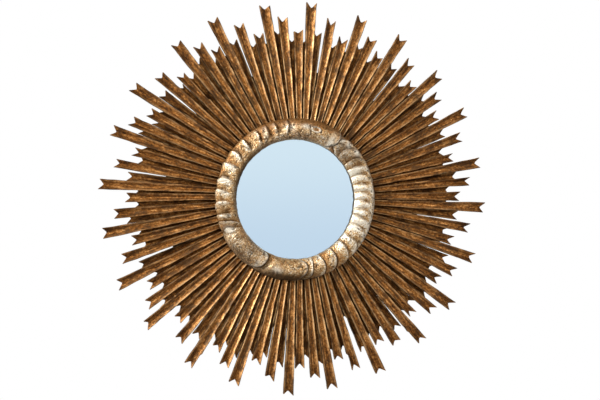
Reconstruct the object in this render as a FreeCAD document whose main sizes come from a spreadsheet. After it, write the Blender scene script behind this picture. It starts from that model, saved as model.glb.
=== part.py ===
import FreeCAD, Part
import math
import os
import Sketcher

# A sunburst wall mirror. The wall is the plane Y = 0, the front faces -Y, and Z is up.
# "Depth" is the distance from the wall towards the front, so a point at depth d has Y = -d.
# Angles of rays and leaves are in degrees, clockwise from the top as seen from the front.

doc = FreeCAD.newDocument("SunburstMirror")
os.makedirs("parts", exist_ok=True)

SIZES = (
    ("sight_dia", 300, "glass in view inside the ring"),
    ("glass_dia", 310, "mirror plate"),
    ("glass_thick", 4, "mirror plate"),
    ("well_clearance", 2.5, "round the plate, in the collar and the panel"),
    ("board_thick", 4, "backing board behind the plate"),
    ("board_clearance", 1, "round the backing board and the packing"),
    ("ring_dia", 416, "carved ring, outside"),
    ("crown_height", 28, "carved ring above its base"),
    ("ring_base", 4, "flat base of the carved ring"),
    ("collar_wall", 14, "collar of the ring inside the ray roots"),
    ("leaf_sink", 1, "leaves let into the ring base"),
    ("panel_dia", 660, "rear panel"),
    ("panel_thick", 12, "rear panel"),
    ("cover_lap", 20.5, "back cover past the edge of the well"),
    ("cover_thick", 10, "back cover, between the panel and the wall"),
    ("cover_screw_inset", 8, "cover screws from the cover's edge"),
    ("ray_thick", 12, "each ray, both layers"),
    ("root_gap", 0.5, "ray roots off the collar"),
    ("root_width", 13, "each ray at its root"),
    ("long_reach", 497, "even long rays, to the tip, before fan_out"),
    ("long_alt_reach", 493, "odd long rays"),
    ("long_width", 28, "long rays at the tip"),
    ("medium_reach", 462, "even medium rays"),
    ("medium_alt_reach", 458, "odd medium rays"),
    ("medium_width", 26, "medium rays at the tip"),
    ("short_reach", 425, "even short rays"),
    ("short_alt_reach", 429, "odd short rays"),
    ("short_width", 25, "short rays at the tip"),
    ("back_near_reach", 428, "back rays between a long and a medium ray"),
    ("back_mid_reach", 407, "back rays beside a short ray"),
    ("back_width", 24, "back rays at the tip"),
    ("notch_depth", 12, "swallow-tail notch"),
    ("flute_rim", 1.8, "flat rim each side of the flute"),
    ("flute_depth", 4.5, "flute at the tip"),
    ("fan_shift_across", 11, "fan of rays to the right of the glass centre"),
    ("fan_shift_up", 7, "fan of rays above the glass centre"),
    ("fan_out", 8, "rays towards the upper right laid further out"),
    ("wood_screw_radius", 2.2, "shank of the countersunk screws"),
    ("wood_screw_head", 4.2, "countersunk head, radius"),
    ("wood_screw_recess", 0.3, "countersunk head under the surface"),
    ("ring_screw_grip", 14, "ring screws in the collar"),
    ("cover_screw_grip", 9, "cover screws in the panel"),
    ("pan_screw_radius", 1.9, "shank of the strap screws"),
    ("pan_screw_head", 3.8, "pan head, radius"),
    ("pan_head_height", 2, "pan head"),
    ("pan_screw_length", 12, "strap screws under the head"),
    ("screw_fit", 0.05, "round a shank in its hole"),
    ("hanger_across", 190, "hanger from the centre line"),
    ("hanger_up", 172, "D-ring axis above the centre"),
    ("strap_width", 16, "hanger strap"),
    ("strap_length", 42, "hanger strap below the D-ring axis"),
    ("strap_thick", 2.4, "hanger strap, two plies"),
    ("strap_ply", 1.2, "one ply round the D-ring bar"),
    ("strap_screw_first", 23, "upper strap screw below the D-ring axis"),
    ("strap_screw_pitch", 12, "between the strap screws"),
    ("loop_lift", 0.3, "strap loop off the panel"),
    ("wire_radius", 2, "D-ring wire"),
    ("wire_play", 0.05, "round the D-ring bar in its loop"),
    ("dring_radius", 14, "D-ring bow, to the wire's middle"),
    ("dring_rest", 9, "degrees that the hanging D-ring stands off the strap"),
)

sheet = doc.addObject("Spreadsheet::Sheet", "Sizes")
for row, (alias, number, note) in enumerate(SIZES, start=1):
    sheet.set("A%d" % row, alias)
    sheet.set("B%d" % row, str(number))
    sheet.set("C%d" % row, note)
    sheet.setAlias("B%d" % row, alias)
doc.recompute()

# Depths and radii that follow from the sheet, as expressions.
PANEL_BACK = "Sizes.cover_thick"
PANEL_FRONT = "(Sizes.cover_thick + Sizes.panel_thick)"
BACK_RAY_FACE = "(Sizes.cover_thick + Sizes.panel_thick + Sizes.ray_thick)"
FRONT_RAY_FACE = "(Sizes.cover_thick + Sizes.panel_thick + 2 * Sizes.ray_thick)"
GLASS_BACK = "(%s - Sizes.glass_thick)" % FRONT_RAY_FACE
BOARD_BACK = "(%s - Sizes.glass_thick - Sizes.board_thick)" % FRONT_RAY_FACE
WELL_RADIUS = "(Sizes.glass_dia / 2 + Sizes.well_clearance)"
COLLAR_RADIUS = "(%s + Sizes.collar_wall)" % WELL_RADIUS
COLLAR_MIDDLE = "(%s + Sizes.collar_wall / 2)" % WELL_RADIUS
ROOT_RADIUS = "(%s + Sizes.root_gap)" % COLLAR_RADIUS
COVER_RADIUS = "(%s + Sizes.cover_lap)" % WELL_RADIUS
COVER_SCREW_CIRCLE = "(%s - Sizes.cover_screw_inset)" % COVER_RADIUS
RING_SCREW_TIP = "(%s + Sizes.ring_screw_grip)" % PANEL_FRONT
COVER_SCREW_TIP = "(%s + Sizes.cover_screw_grip)" % PANEL_BACK
WOOD_SCREW_HOLE = "(Sizes.wood_screw_radius + Sizes.screw_fit)"
STRAP_FACE = "(%s - Sizes.strap_thick)" % PANEL_BACK
STRAP_HOLE = "(Sizes.pan_screw_radius + Sizes.screw_fit)"
LOOP_RADIUS = "(Sizes.wire_radius + Sizes.wire_play + Sizes.strap_ply)"
LOOP_DEPTH = "(%s - Sizes.loop_lift - %s)" % (PANEL_BACK, LOOP_RADIUS)

# The front fan repeats every two long rays: long, medium, short, long, medium, short.
FRONT_KINDS = ("long", "medium", "short", "long_alt", "medium_alt", "short_alt")
BACK_KINDS = ("back_mid", "back_near", "back_mid", "back_mid", "back_near", "back_mid")
FAN_PERIOD = 30.0
RAY_PITCH = 5.0
FRONT_ROOT_START = 4.9
FRONT_TIPS = (3.6, 10.4, 15.8, 19.6, 25.0, 30.0)
BACK_ROOT_START = 2.4
BACK_TIPS = (1.9, 6.7, 12.9, 17.9, 22.7, 27.5)
FAN_OUT_TOWARDS = 65.0
RAYS_IN_LAYER = 72
RAYS_IN_SECTOR = 3
QUARTERS = ("upper_right", "lower_right", "lower_left", "upper_left")

# How far each front ray was laid from its even place, in degrees at the tip.
LONG_LAID = (
    0.2, 0.3, 0, 0, 0, 0, -0.2, -0.4, 1.5, -0.5, 1, 0.4,
    -0.5, 0, 0, 1, 0.8, 0, 0, -0.3, -0.6, 1.2, 0, 0,
)
MEDIUM_LAID = (
    0.4, 0.3, 0, -0.2, -0.2, -0.2, 0, 0.6, -0.6, 0.8, 1.2, -0.2,
    -1, -0.7, 0.1, 0.1, 0.6, -0.2, 0, -1, 0, 0.8, 0, -0.3,
)
SHORT_LAID = (
    0.2, 0.1, 0.2, 0, 0, 0, 0, 0.4, -0.2, 0.7, 0.4, -0.2,
    -1, -1, -0.6, 0, -0.2, -0.2, -0.6, -1, -0.3, 0.2, 0, -0.2,
)

# Edges of the wreath's leaves. Both garlands start at the lower left and meet at the upper right.
CLOCKWISE_LEAVES = (244, 251, 259, 266, 275, 285, 296, 306, 317, 327, 335, 343, 352, 393)
COUNTER_LEAVES = (244, 212, 176, 167, 157, 146, 137, 128, 118, 107, 98, 91, 83, 75, 63, 54, 46, 31)
LEAF_CUTS = 8
LEAF_STEP = 9.0
LEAF_TUCK = 2.5
LEAF_SLANT = 10.0
LEAF_LOW = 0.84

FLUTE_CUTS = 5
FLUTE_OVERRUN = 6.0
WOOD_SCREWS = 6
RING_SCREW_START = 30.0
COVER_SCREW_START = 0.0
FRONT_AXIS = FreeCAD.Vector(0, 1, 0)
TO_FRONT = FreeCAD.Rotation(FreeCAD.Vector(1, 0, 0), 90)
TO_RIGHT = FreeCAD.Rotation(FreeCAD.Vector(0, 1, 0), 90)
WIRE_SIDES = 12
BOW_CUTS = 12
SIDES = {"left": -1, "right": 1}
nodes = []


def size(expression):
    """The number that an expression over the sheet gives."""
    return float(sheet.evalExpression(expression))


def turned(angle, centre=FreeCAD.Vector()):
    """A turn about the front axis through a point, clockwise as seen from the front."""
    return FreeCAD.Placement(FreeCAD.Vector(), FreeCAD.Rotation(FRONT_AXIS, angle), centre)


def bind(item, **expressions):
    """Binds an object's properties to expressions over the sheet."""
    for name, expression in expressions.items():
        item.setExpression(name.replace("__", "."), expression)


def keep(item, label):
    """Names a finished sub-part and lists it for export."""
    item.Label = label
    nodes.append(item)
    return item


def new_sketch(body, role, depth=None):
    """A sketch on one of the body's own planes, moved to a depth from the wall."""
    sketch = body.newObject("Sketcher::SketchObject", "Outline")
    plane = [f for f in body.Origin.OriginFeatures if f.Role == role][0]
    sketch.AttachmentSupport = [(plane, "")]
    sketch.MapMode = "FlatFace"
    if depth:
        sketch.setExpression("AttachmentOffset.Base.z", depth)
    return sketch


def place_point(sketch, geometry, end, across, up):
    """Fixes a sketch point to a pair of expressions."""
    for kind, level, expression in (("DistanceX", "Vertical", across), ("DistanceY", "Horizontal", up)):
        if expression == "0":
            sketch.addConstraint(Sketcher.Constraint(level, -1, 1, geometry, end))
            continue
        index = sketch.addConstraint(
            Sketcher.Constraint(kind, -1, 1, geometry, end, size(expression))
        )
        sketch.setExpression("Constraints[%d]" % index, expression)


def add_polygon(sketch, corners):
    """A closed outline through corners given as pairs of expressions."""
    points = [FreeCAD.Vector(size(across), size(up), 0) for across, up in corners]
    count = len(points)
    first = sketch.GeometryCount
    for number in range(count):
        sketch.addGeometry(Part.LineSegment(points[number], points[(number + 1) % count]))
    for number in range(count):
        following = first + (number + 1) % count
        sketch.addConstraint(Sketcher.Constraint("Coincident", first + number, 2, following, 1))
    for number, (across, up) in enumerate(corners):
        place_point(sketch, first + number, 1, across, up)


def add_circle(sketch, radius, across="0", up="0"):
    """A circle given by expressions."""
    middle = FreeCAD.Vector(size(across), size(up), 0)
    circle = sketch.addGeometry(Part.Circle(middle, FreeCAD.Vector(0, 0, 1), size(radius)))
    place_point(sketch, circle, 3, across, up)
    index = sketch.addConstraint(Sketcher.Constraint("Radius", circle, size(radius)))
    sketch.setExpression("Constraints[%d]" % index, radius)


def pad(body, sketch, thickness):
    """Pads a sketch towards the front."""
    feature = body.newObject("PartDesign::Pad", "Pad")
    feature.Profile = sketch
    feature.setExpression("Length", thickness)
    sketch.Visibility = False
    return feature


def disc(label, radius, depth, thickness):
    """A plain round plate."""
    body = doc.addObject("PartDesign::Body", label)
    sketch = new_sketch(body, "XZ_Plane", depth)
    add_circle(sketch, radius)
    pad(body, sketch, thickness)
    return keep(body, label)


def flat_face(corners):
    """A flat face through corners."""
    return Part.Face(Part.makePolygon(corners + corners[:1]))


def flute_section(up, half, face):
    """Corners of a flute at one height: flat cuts of a scoop, closed in front of the ray's face."""
    depth = half * size("Sizes.flute_depth") / size("Sizes.long_width / 2 - Sizes.flute_rim")
    scoop = (half ** 2 + depth ** 2) / (2 * depth)
    span = math.asin(half / scoop)
    turns = [span * (2 * number / FLUTE_CUTS - 1) for number in range(FLUTE_CUTS + 1)]
    corners = [(scoop * math.sin(turn), face - depth + scoop * (1 - math.cos(turn))) for turn in turns]
    corners += [(half, face + half), (-half, face + half)]
    return [FreeCAD.Vector(across, -level, up) for across, level in corners]


def flute_tool(reach, tip_width, face):
    """A slender pyramid of flat cuts that leaves the rims of a ray standing."""
    root = size(ROOT_RADIUS)
    root_half = size("Sizes.root_width / 2 - Sizes.flute_rim")
    tip_half = size("%s / 2 - Sizes.flute_rim" % tip_width)
    growth = (tip_half - root_half) / (size(reach) - root)
    point = FreeCAD.Vector(0, -size(face), root - root_half / growth)
    wide = flute_section(size(reach) + FLUTE_OVERRUN, tip_half + growth * FLUTE_OVERRUN, size(face))
    sides = [flat_face([point, wide[number - 1], wide[number]]) for number in range(len(wide))]
    tool = doc.addObject("Part::Feature", "Flute")
    tool.Shape = Part.Solid(Part.Shell([flat_face(wide)] + sides))
    return tool


def ray_master(kind, tip_width, depth):
    """A tapered strip pointing up, with a scooped flute and a swallow-tail tip."""
    reach = "Sizes.%s_reach" % kind
    blank = doc.addObject("PartDesign::Body", "%s_blank" % kind)
    plan = new_sketch(blank, "XZ_Plane", depth)
    add_polygon(plan, (
        ("-Sizes.root_width / 2", ROOT_RADIUS),
        ("Sizes.root_width / 2", ROOT_RADIUS),
        ("%s / 2" % tip_width, reach),
        ("0", "%s - Sizes.notch_depth" % reach),
        ("-%s / 2" % tip_width, reach),
    ))
    pad(blank, plan, "Sizes.ray_thick")
    return cut(blank, flute_tool(reach, tip_width, "(%s + Sizes.ray_thick)" % depth))


def ray_place(root_angle, tip_angle, reach):
    """Where a ray lies: its root on an even pitch, leaning to its tip, the fan set off the centre."""
    root = size(ROOT_RADIUS)
    turn = math.radians(root_angle)
    aside = size("Sizes.fan_shift_across") * math.cos(turn) - size("Sizes.fan_shift_up") * math.sin(turn)
    further = size("Sizes.fan_out / 2") * (1 + math.cos(math.radians(root_angle - FAN_OUT_TOWARDS)))
    lean = (tip_angle - root_angle) * reach / (reach - root)
    leaning = turned(lean, FreeCAD.Vector(0, 0, root))
    shifted = FreeCAD.Placement(FreeCAD.Vector(aside, 0, further), FreeCAD.Rotation())
    return turned(root_angle).multiply(shifted).multiply(leaning)


def placed_copy(master, placement):
    """A copy of a master body at its own place."""
    copy = doc.addObject("Part::Compound", "Copy")
    copy.Links = [master]
    copy.Placement = placement
    return copy


def group(label, members):
    """One sub-part of several separate solids."""
    compound = doc.addObject("Part::Compound", label)
    compound.Links = members
    return keep(compound, label)


def quarter_of(angle):
    """The quarter of the sunburst that an angle lies in."""
    return QUARTERS[int(angle % 360 // 90)]


def lay_ray(masters, kind, root_angle, tip_angle):
    """A copy of one kind of ray, laid at its place in the fan."""
    return placed_copy(masters[kind], ray_place(root_angle, tip_angle, size("Sizes.%s_reach" % kind)))


def build_front_rays():
    """Long rays one by one, medium and short rays by quarters."""
    masters = {}
    for kind in FRONT_KINDS:
        width = "Sizes.%s_width" % kind.replace("_alt", "")
        masters[kind] = ray_master(kind, width, BACK_RAY_FACE)
    doc.recompute()
    shared = {}
    for number in range(RAYS_IN_LAYER):
        period, step = divmod(number, len(FRONT_KINDS))
        sector, place = divmod(number, RAYS_IN_SECTOR)
        laid = (LONG_LAID, MEDIUM_LAID, SHORT_LAID)[place][sector]
        root_angle = FRONT_ROOT_START + RAY_PITCH * number
        tip_angle = FAN_PERIOD * period + FRONT_TIPS[step] + laid
        ray = lay_ray(masters, FRONT_KINDS[step], root_angle, tip_angle)
        if place == 0:
            keep(ray, "long_ray_%02d" % (sector + 1))
            continue
        name = "%s_rays_%s" % (FRONT_KINDS[place], quarter_of(root_angle))
        shared.setdefault(name, []).append(ray)
    for name in sorted(shared):
        group(name, shared[name])


def build_back_rays():
    """The second layer, seen through the gaps of the first, by quarters."""
    masters = {kind: ray_master(kind, "Sizes.back_width", PANEL_FRONT) for kind in set(BACK_KINDS)}
    doc.recompute()
    shared = {}
    for number in range(RAYS_IN_LAYER):
        period, step = divmod(number, len(BACK_KINDS))
        root_angle = BACK_ROOT_START + RAY_PITCH * number
        ray = lay_ray(masters, BACK_KINDS[step], root_angle, FAN_PERIOD * period + BACK_TIPS[step])
        shared.setdefault("back_rays_%s" % quarter_of(root_angle), []).append(ray)
    for name in sorted(shared):
        group(name, shared[name])


def leaf_section(angle, facing, swell):
    """Corners of a half-round section in flat cuts, at one angle and square to another."""
    inner = size("Sizes.sight_dia") / 2
    outer = size("Sizes.ring_dia") / 2
    seat = size("%s + Sizes.ring_base - Sizes.leaf_sink" % FRONT_RAY_FACE)
    middle = turned(angle).multVec(FreeCAD.Vector(0, -seat, (inner + outer) / 2))
    half = turned(facing).multVec(FreeCAD.Vector(0, 0, (outer - inner) / 2 * swell))
    rise = FreeCAD.Vector(0, -size("Sizes.crown_height + Sizes.leaf_sink - Sizes.ring_base") * swell, 0)
    turns = [math.pi * number / LEAF_CUTS for number in range(LEAF_CUTS + 1)]
    return [middle - half * math.cos(turn) + rise * math.sin(turn) for turn in turns]


def leaf_length(start, end, low, high):
    """A straight length of a leaf that swells from one section to the next."""
    facing = (start + end) / 2 + LEAF_SLANT
    near = leaf_section(start, facing, low)
    far = leaf_section(end, facing, high)
    faces = [flat_face(near), flat_face(far)]
    for number in range(len(near)):
        faces.append(flat_face([near[number - 1], near[number], far[number], far[number - 1]]))
    return Part.Solid(Part.Shell(faces))


def leaf(start, end):
    """One leaf of the wreath, from under its neighbour to its own raised tip."""
    way = math.copysign(1, end - start)
    count = max(1, round(abs(end - start) / LEAF_STEP))
    swells = [LEAF_LOW + (1 - LEAF_LOW) * math.sqrt(number / count) for number in range(count + 1)]
    lengths = []
    for number in range(count):
        begin = start + (end - start) * number / count - way * LEAF_TUCK
        finish = start + (end - start) * (number + 1) / count
        lengths.append(leaf_length(begin, finish, swells[number], swells[number + 1]))
    return lengths


def ring_core():
    """The turned part of the ring: a flat base with a lip over the glass and a collar behind it."""
    face = size(FRONT_RAY_FACE)
    front = face + size("Sizes.ring_base")
    inner = size("Sizes.sight_dia") / 2
    outer = size("Sizes.ring_dia") / 2 - size("Sizes.leaf_sink")
    well = size(WELL_RADIUS)
    collar = size(COLLAR_RADIUS)
    foot = size(PANEL_FRONT)
    corners = (
        (inner, front), (outer, front), (outer, face), (collar, face),
        (collar, foot), (well, foot), (well, face), (inner, face),
    )
    points = [FreeCAD.Vector(0, -depth, radius) for radius, depth in corners]
    section = Part.Face(Part.makePolygon(points + points[:1]))
    return section.revolve(FreeCAD.Vector(), FRONT_AXIS, 360)


def screw_angles(start):
    """Angles of the countersunk screws of one circle."""
    return [start + 360.0 / WOOD_SCREWS * number for number in range(WOOD_SCREWS)]


def build_ring():
    """The carved ring: two garlands of overlapping leaves on the turned core."""
    leaves = []
    for garland in (CLOCKWISE_LEAVES, COUNTER_LEAVES):
        for start, end in zip(garland, garland[1:]):
            leaves.extend(leaf(start, end))
    carved = ring_core().multiFuse(leaves)
    foot = size(PANEL_FRONT)
    pilots = []
    for angle in screw_angles(RING_SCREW_START):
        start = turned(angle).multVec(FreeCAD.Vector(0, -foot, size(COLLAR_MIDDLE)))
        grip = size("Sizes.ring_screw_grip")
        pilots.append(Part.makeCylinder(size(WOOD_SCREW_HOLE), grip, start, -FRONT_AXIS))
    ring = doc.addObject("Part::Feature", "carved_ring")
    ring.Shape = carved.cut(pilots).Solids[0]
    keep(ring, "carved_ring")


def cylinder(radius, depth, height, across="0", up="0"):
    """A cylinder from a depth towards the front."""
    item = doc.addObject("Part::Cylinder", "Cylinder")
    item.Placement = FreeCAD.Placement(FreeCAD.Vector(), TO_FRONT)
    bind(item, Radius=radius, Height=height)
    stand(item, across, depth, up)
    return item


def cross_cylinder(radius, length, across, depth, up):
    """A cylinder along X, centred on a point."""
    item = doc.addObject("Part::Cylinder", "Cylinder")
    item.Placement = FreeCAD.Placement(FreeCAD.Vector(), TO_RIGHT)
    bind(item, Radius=radius, Height=length)
    stand(item, "%s - %s / 2" % (across, length), depth, up)
    return item


def stand(item, across, depth, up):
    """Binds where an object stands."""
    item.setExpression("Placement.Base.x", across)
    item.setExpression("Placement.Base.y", "-(%s)" % depth)
    item.setExpression("Placement.Base.z", up)


def fused(members):
    """Several objects joined into one solid."""
    item = doc.addObject("Part::MultiFuse", "Joined")
    item.Shapes = members
    return item


def cut(base, tool):
    """An object less another."""
    item = doc.addObject("Part::Cut", "Cut")
    item.Base = base
    item.Tool = tool
    return item


def pan_screw(face, across, up):
    """A pan-head screw whose head lies on a face at this depth, driven towards the front."""
    head_back = "%s - Sizes.pan_head_height" % face
    head = cylinder("Sizes.pan_screw_head", head_back, "Sizes.pan_head_height", across, up)
    shank = cylinder("Sizes.pan_screw_radius", face, "Sizes.pan_screw_length", across, up)
    return fused([head, shank])


def on_circle(radius, angle):
    """Expressions for a point on a circle round the centre."""
    turn = math.radians(angle)
    return "%s * %.6f" % (radius, math.sin(turn)), "%s * %.6f" % (radius, math.cos(turn))


def strap_screw_places():
    """The four strap screws, two to a hanger."""
    places = []
    for side in SIDES.values():
        for number in range(2):
            drop = "Sizes.strap_screw_first + %d * Sizes.strap_screw_pitch" % number
            places.append(("%d * Sizes.hanger_across" % side, "Sizes.hanger_up - (%s)" % drop))
    return places


def add_countersinks(body, circle, start, back, front):
    """A circle of countersunk holes through a plate, opening at its back."""
    shank = "%s + %s" % (circle, WOOD_SCREW_HOLE)
    mouth = "%s + Sizes.wood_screw_head + Sizes.screw_fit + Sizes.wood_screw_recess" % circle
    neck = "-(%s + Sizes.wood_screw_recess + Sizes.wood_screw_head - Sizes.wood_screw_radius)" % back
    section = new_sketch(body, "YZ_Plane")
    tilt = FreeCAD.Rotation(FreeCAD.Vector(1, 0, 0), start)
    section.AttachmentOffset = FreeCAD.Placement(FreeCAD.Vector(), tilt)
    rear = "0" if back == "0" else "-" + back
    face = "-" + front
    add_polygon(section, ((rear, circle), (face, circle), (face, shank), (neck, shank), (rear, mouth)))
    sink = body.newObject("PartDesign::Groove", "Countersink")
    sink.Profile = section
    sink.ReferenceAxis = (section, ["Edge1"])
    sink.Angle = 360
    section.Visibility = False
    pattern = body.newObject("PartDesign::PolarPattern", "Countersinks")
    pattern.Originals = [sink]
    axis = [f for f in body.Origin.OriginFeatures if f.Role == "Y_Axis"][0]
    pattern.Axis = (axis, [""])
    pattern.Angle = 360
    pattern.Occurrences = WOOD_SCREWS
    body.Tip = pattern


def build_panel():
    """The plywood annulus behind the rays, with its screw holes."""
    body = doc.addObject("PartDesign::Body", "rear_panel")
    plan = new_sketch(body, "XZ_Plane", PANEL_BACK)
    add_circle(plan, "Sizes.panel_dia / 2")
    add_circle(plan, WELL_RADIUS)
    pad(body, plan, "Sizes.panel_thick")
    holes = new_sketch(body, "XZ_Plane", PANEL_BACK)
    for across, up in strap_screw_places():
        add_circle(holes, STRAP_HOLE, across, up)
    for angle in screw_angles(COVER_SCREW_START):
        add_circle(holes, WOOD_SCREW_HOLE, *on_circle(COVER_SCREW_CIRCLE, angle))
    pilots = body.newObject("PartDesign::Pocket", "Pilots")
    pilots.Profile = holes
    pilots.Type = "ThroughAll"
    pilots.Reversed = True
    holes.Visibility = False
    add_countersinks(body, COLLAR_MIDDLE, RING_SCREW_START, PANEL_BACK, PANEL_FRONT)
    keep(body, "rear_panel")


def build_wood_screws(label, circle, start, back, tip):
    """A circle of countersunk screws from a back face to the depth of their tips."""
    screws = []
    top = "(%s + Sizes.wood_screw_recess)" % back
    taper = "(Sizes.wood_screw_head - Sizes.wood_screw_radius)"
    for angle in screw_angles(start):
        across, up = on_circle(circle, angle)
        head = doc.addObject("Part::Cone", "Head")
        head.Placement = FreeCAD.Placement(FreeCAD.Vector(), TO_FRONT)
        bind(head, Radius1="Sizes.wood_screw_head", Radius2="Sizes.wood_screw_radius", Height=taper)
        stand(head, across, top, up)
        neck = "%s + %s" % (top, taper)
        shank = cylinder("Sizes.wood_screw_radius", neck, "%s - (%s)" % (tip, neck), across, up)
        screws.append(fused([head, shank]))
    group(label, screws)


def build_glazing():
    """The mirror plate and what lies behind it, closed by the back cover."""
    loose = "%s - Sizes.board_clearance" % WELL_RADIUS
    disc("mirror_glass", "Sizes.glass_dia / 2", GLASS_BACK, "Sizes.glass_thick")
    disc("backing_board", loose, BOARD_BACK, "Sizes.board_thick")
    disc("packing_disc", loose, PANEL_BACK, "%s - %s" % (BOARD_BACK, PANEL_BACK))
    cover = disc("back_cover", COVER_RADIUS, None, "Sizes.cover_thick")
    add_countersinks(cover, COVER_SCREW_CIRCLE, COVER_SCREW_START, "0", PANEL_BACK)


def build_strap(label, across):
    """A folded steel strap with a loop round the D-ring's bar."""
    top = "Sizes.hanger_up"
    foot = "Sizes.hanger_up - Sizes.strap_length + Sizes.strap_width / 2"
    plate = doc.addObject("Part::Box", "Plate")
    bind(plate, Length="Sizes.strap_width", Width="Sizes.strap_thick", Height="%s - (%s)" % (top, foot))
    stand(plate, "%s - Sizes.strap_width / 2" % across, PANEL_BACK, foot)
    end = cylinder("Sizes.strap_width / 2", STRAP_FACE, "Sizes.strap_thick", across, foot)
    loop = cross_cylinder(LOOP_RADIUS, "Sizes.strap_width", across, LOOP_DEPTH, top)
    bore = cross_cylinder("Sizes.wire_radius + Sizes.wire_play", "Sizes.strap_width", across, LOOP_DEPTH, top)
    places = [place for place in strap_screw_places() if place[0] == across]
    holes = [cylinder(STRAP_HOLE, STRAP_FACE, "Sizes.strap_thick", *place) for place in places]
    keep(cut(fused([plate, end, loop]), fused([bore] + holes)), label)


def wire_section(turn):
    """Corners of the wire's section where the bow has turned by an angle from its right end."""
    out = FreeCAD.Vector(math.cos(turn), 0, -math.sin(turn))
    wire = size("Sizes.wire_radius")
    corners = [2 * math.pi * (number + 0.5) / WIRE_SIDES for number in range(WIRE_SIDES)]
    return [
        out * (size("Sizes.dring_radius") + wire * math.cos(corner)) + FRONT_AXIS * wire * math.sin(corner)
        for corner in corners
    ]


def wire_bow():
    """The half-round bow of a D-ring in flat cuts."""
    sections = [wire_section(math.pi * number / BOW_CUTS) for number in range(BOW_CUTS + 1)]
    faces = [flat_face(sections[0]), flat_face(sections[-1])]
    for near, far in zip(sections, sections[1:]):
        for number in range(WIRE_SIDES):
            faces.append(flat_face([near[number - 1], near[number], far[number], far[number - 1]]))
    bow = doc.addObject("Part::Feature", "Bow")
    bow.Shape = Part.Solid(Part.Shell(faces))
    return bow


def build_dring(label, across):
    """A bent-wire D-ring, hanging from its bar."""
    half_bar = "(Sizes.dring_radius + Sizes.wire_radius)"
    bar = doc.addObject("Part::Prism", "Bar")
    bar.Placement = FreeCAD.Placement(FreeCAD.Vector(), TO_RIGHT)
    bar.Polygon = WIRE_SIDES
    bind(bar, Circumradius="Sizes.wire_radius", Height="2 * %s" % half_bar)
    stand(bar, "-%s" % half_bar, "0", "0")
    ring = fused([bar, wire_bow()])
    ring.Placement = FreeCAD.Placement(FreeCAD.Vector(), FreeCAD.Rotation(FreeCAD.Vector(1, 0, 0), 1))
    stand(ring, across, LOOP_DEPTH, "Sizes.hanger_up")
    ring.setExpression("Placement.Rotation.Angle", "Sizes.dring_rest")
    keep(ring, label)


def build_hangers():
    """Two D-ring hangers with their screws."""
    for name, side in SIDES.items():
        across = "%d * Sizes.hanger_across" % side
        build_strap("hanger_strap_%s" % name, across)
        build_dring("d_ring_%s" % name, across)
    group("hanger_screws", [pan_screw(STRAP_FACE, *place) for place in strap_screw_places()])


build_panel()
build_back_rays()
build_front_rays()
build_ring()
build_glazing()
build_wood_screws("ring_screws", COLLAR_MIDDLE, RING_SCREW_START, PANEL_BACK, RING_SCREW_TIP)
build_wood_screws("cover_screws", COVER_SCREW_CIRCLE, COVER_SCREW_START, "0", COVER_SCREW_TIP)
build_hangers()
doc.recompute()

for item in doc.Objects:
    if "Invalid" in item.State or "Error" in item.State:
        raise RuntimeError("%s could not be built: %s" % (item.Label, item.State))
for node in nodes:
    if node.Shape.isNull() or not node.Shape.isValid():
        raise RuntimeError("%s has no valid shape" % node.Label)
    node.Shape.exportStep("parts/%s.step" % node.Label)
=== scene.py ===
"""Looks of a sunburst wall mirror: gilt rays round a carved leaf wreath and a round plate.

The mirror faces -Y, the wall is the plane Y = 0 and Z is up. Sizes are in metres.
Angles round the mirror are in degrees, clockwise from the top as seen from the front.
"""

import logging
import math
from abc import ABC, abstractmethod
from dataclasses import dataclass, field
from enum import Enum
from typing import ClassVar, Iterable, Sequence

import bpy
import numpy as np
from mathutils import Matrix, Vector, noise


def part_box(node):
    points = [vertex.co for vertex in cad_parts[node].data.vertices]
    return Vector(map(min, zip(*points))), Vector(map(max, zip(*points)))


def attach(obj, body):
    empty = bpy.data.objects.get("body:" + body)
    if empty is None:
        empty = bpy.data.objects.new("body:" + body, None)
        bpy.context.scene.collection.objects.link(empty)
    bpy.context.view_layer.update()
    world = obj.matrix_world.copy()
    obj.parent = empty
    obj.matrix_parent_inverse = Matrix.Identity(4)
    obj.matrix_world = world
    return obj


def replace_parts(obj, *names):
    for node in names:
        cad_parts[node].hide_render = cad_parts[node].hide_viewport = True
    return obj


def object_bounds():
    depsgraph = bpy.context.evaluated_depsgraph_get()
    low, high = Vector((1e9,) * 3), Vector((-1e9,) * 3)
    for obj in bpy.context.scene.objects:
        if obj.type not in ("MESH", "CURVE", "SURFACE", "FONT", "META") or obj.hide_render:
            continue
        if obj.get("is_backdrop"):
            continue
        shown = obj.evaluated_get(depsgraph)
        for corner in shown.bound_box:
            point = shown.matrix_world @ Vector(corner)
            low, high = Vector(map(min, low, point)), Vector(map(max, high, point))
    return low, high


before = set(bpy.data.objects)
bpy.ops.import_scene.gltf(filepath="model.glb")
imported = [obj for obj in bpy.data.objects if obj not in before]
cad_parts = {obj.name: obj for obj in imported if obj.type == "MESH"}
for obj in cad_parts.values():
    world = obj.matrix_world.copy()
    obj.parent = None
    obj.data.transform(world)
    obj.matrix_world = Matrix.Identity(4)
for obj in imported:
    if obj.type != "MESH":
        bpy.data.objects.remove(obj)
CAD_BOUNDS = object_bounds()
log = logging.getLogger("sunburst_mirror")

Triple = tuple[float, float, float]
Tone = Triple
Span = tuple[float, float]
Array = np.ndarray
Chance = np.random.Generator
Socket = bpy.types.NodeSocket
Source = Socket | Tone
Faces = Iterable[Sequence[int]]

WHITE: Tone = (1.0, 1.0, 1.0)
EVEN: Triple = (1.0, 1.0, 1.0)
TOUCH = 1e-4  # points of a solid that lie closer than this count as level
DECIMALS = 6  # vertices that agree to this many decimals of a metre are one point


class Body(str, Enum):
    """The moving bodies of the frame."""

    MIRROR = "mirror"
    LEFT_RING = "d_ring_left"
    RIGHT_RING = "d_ring_right"


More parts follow.
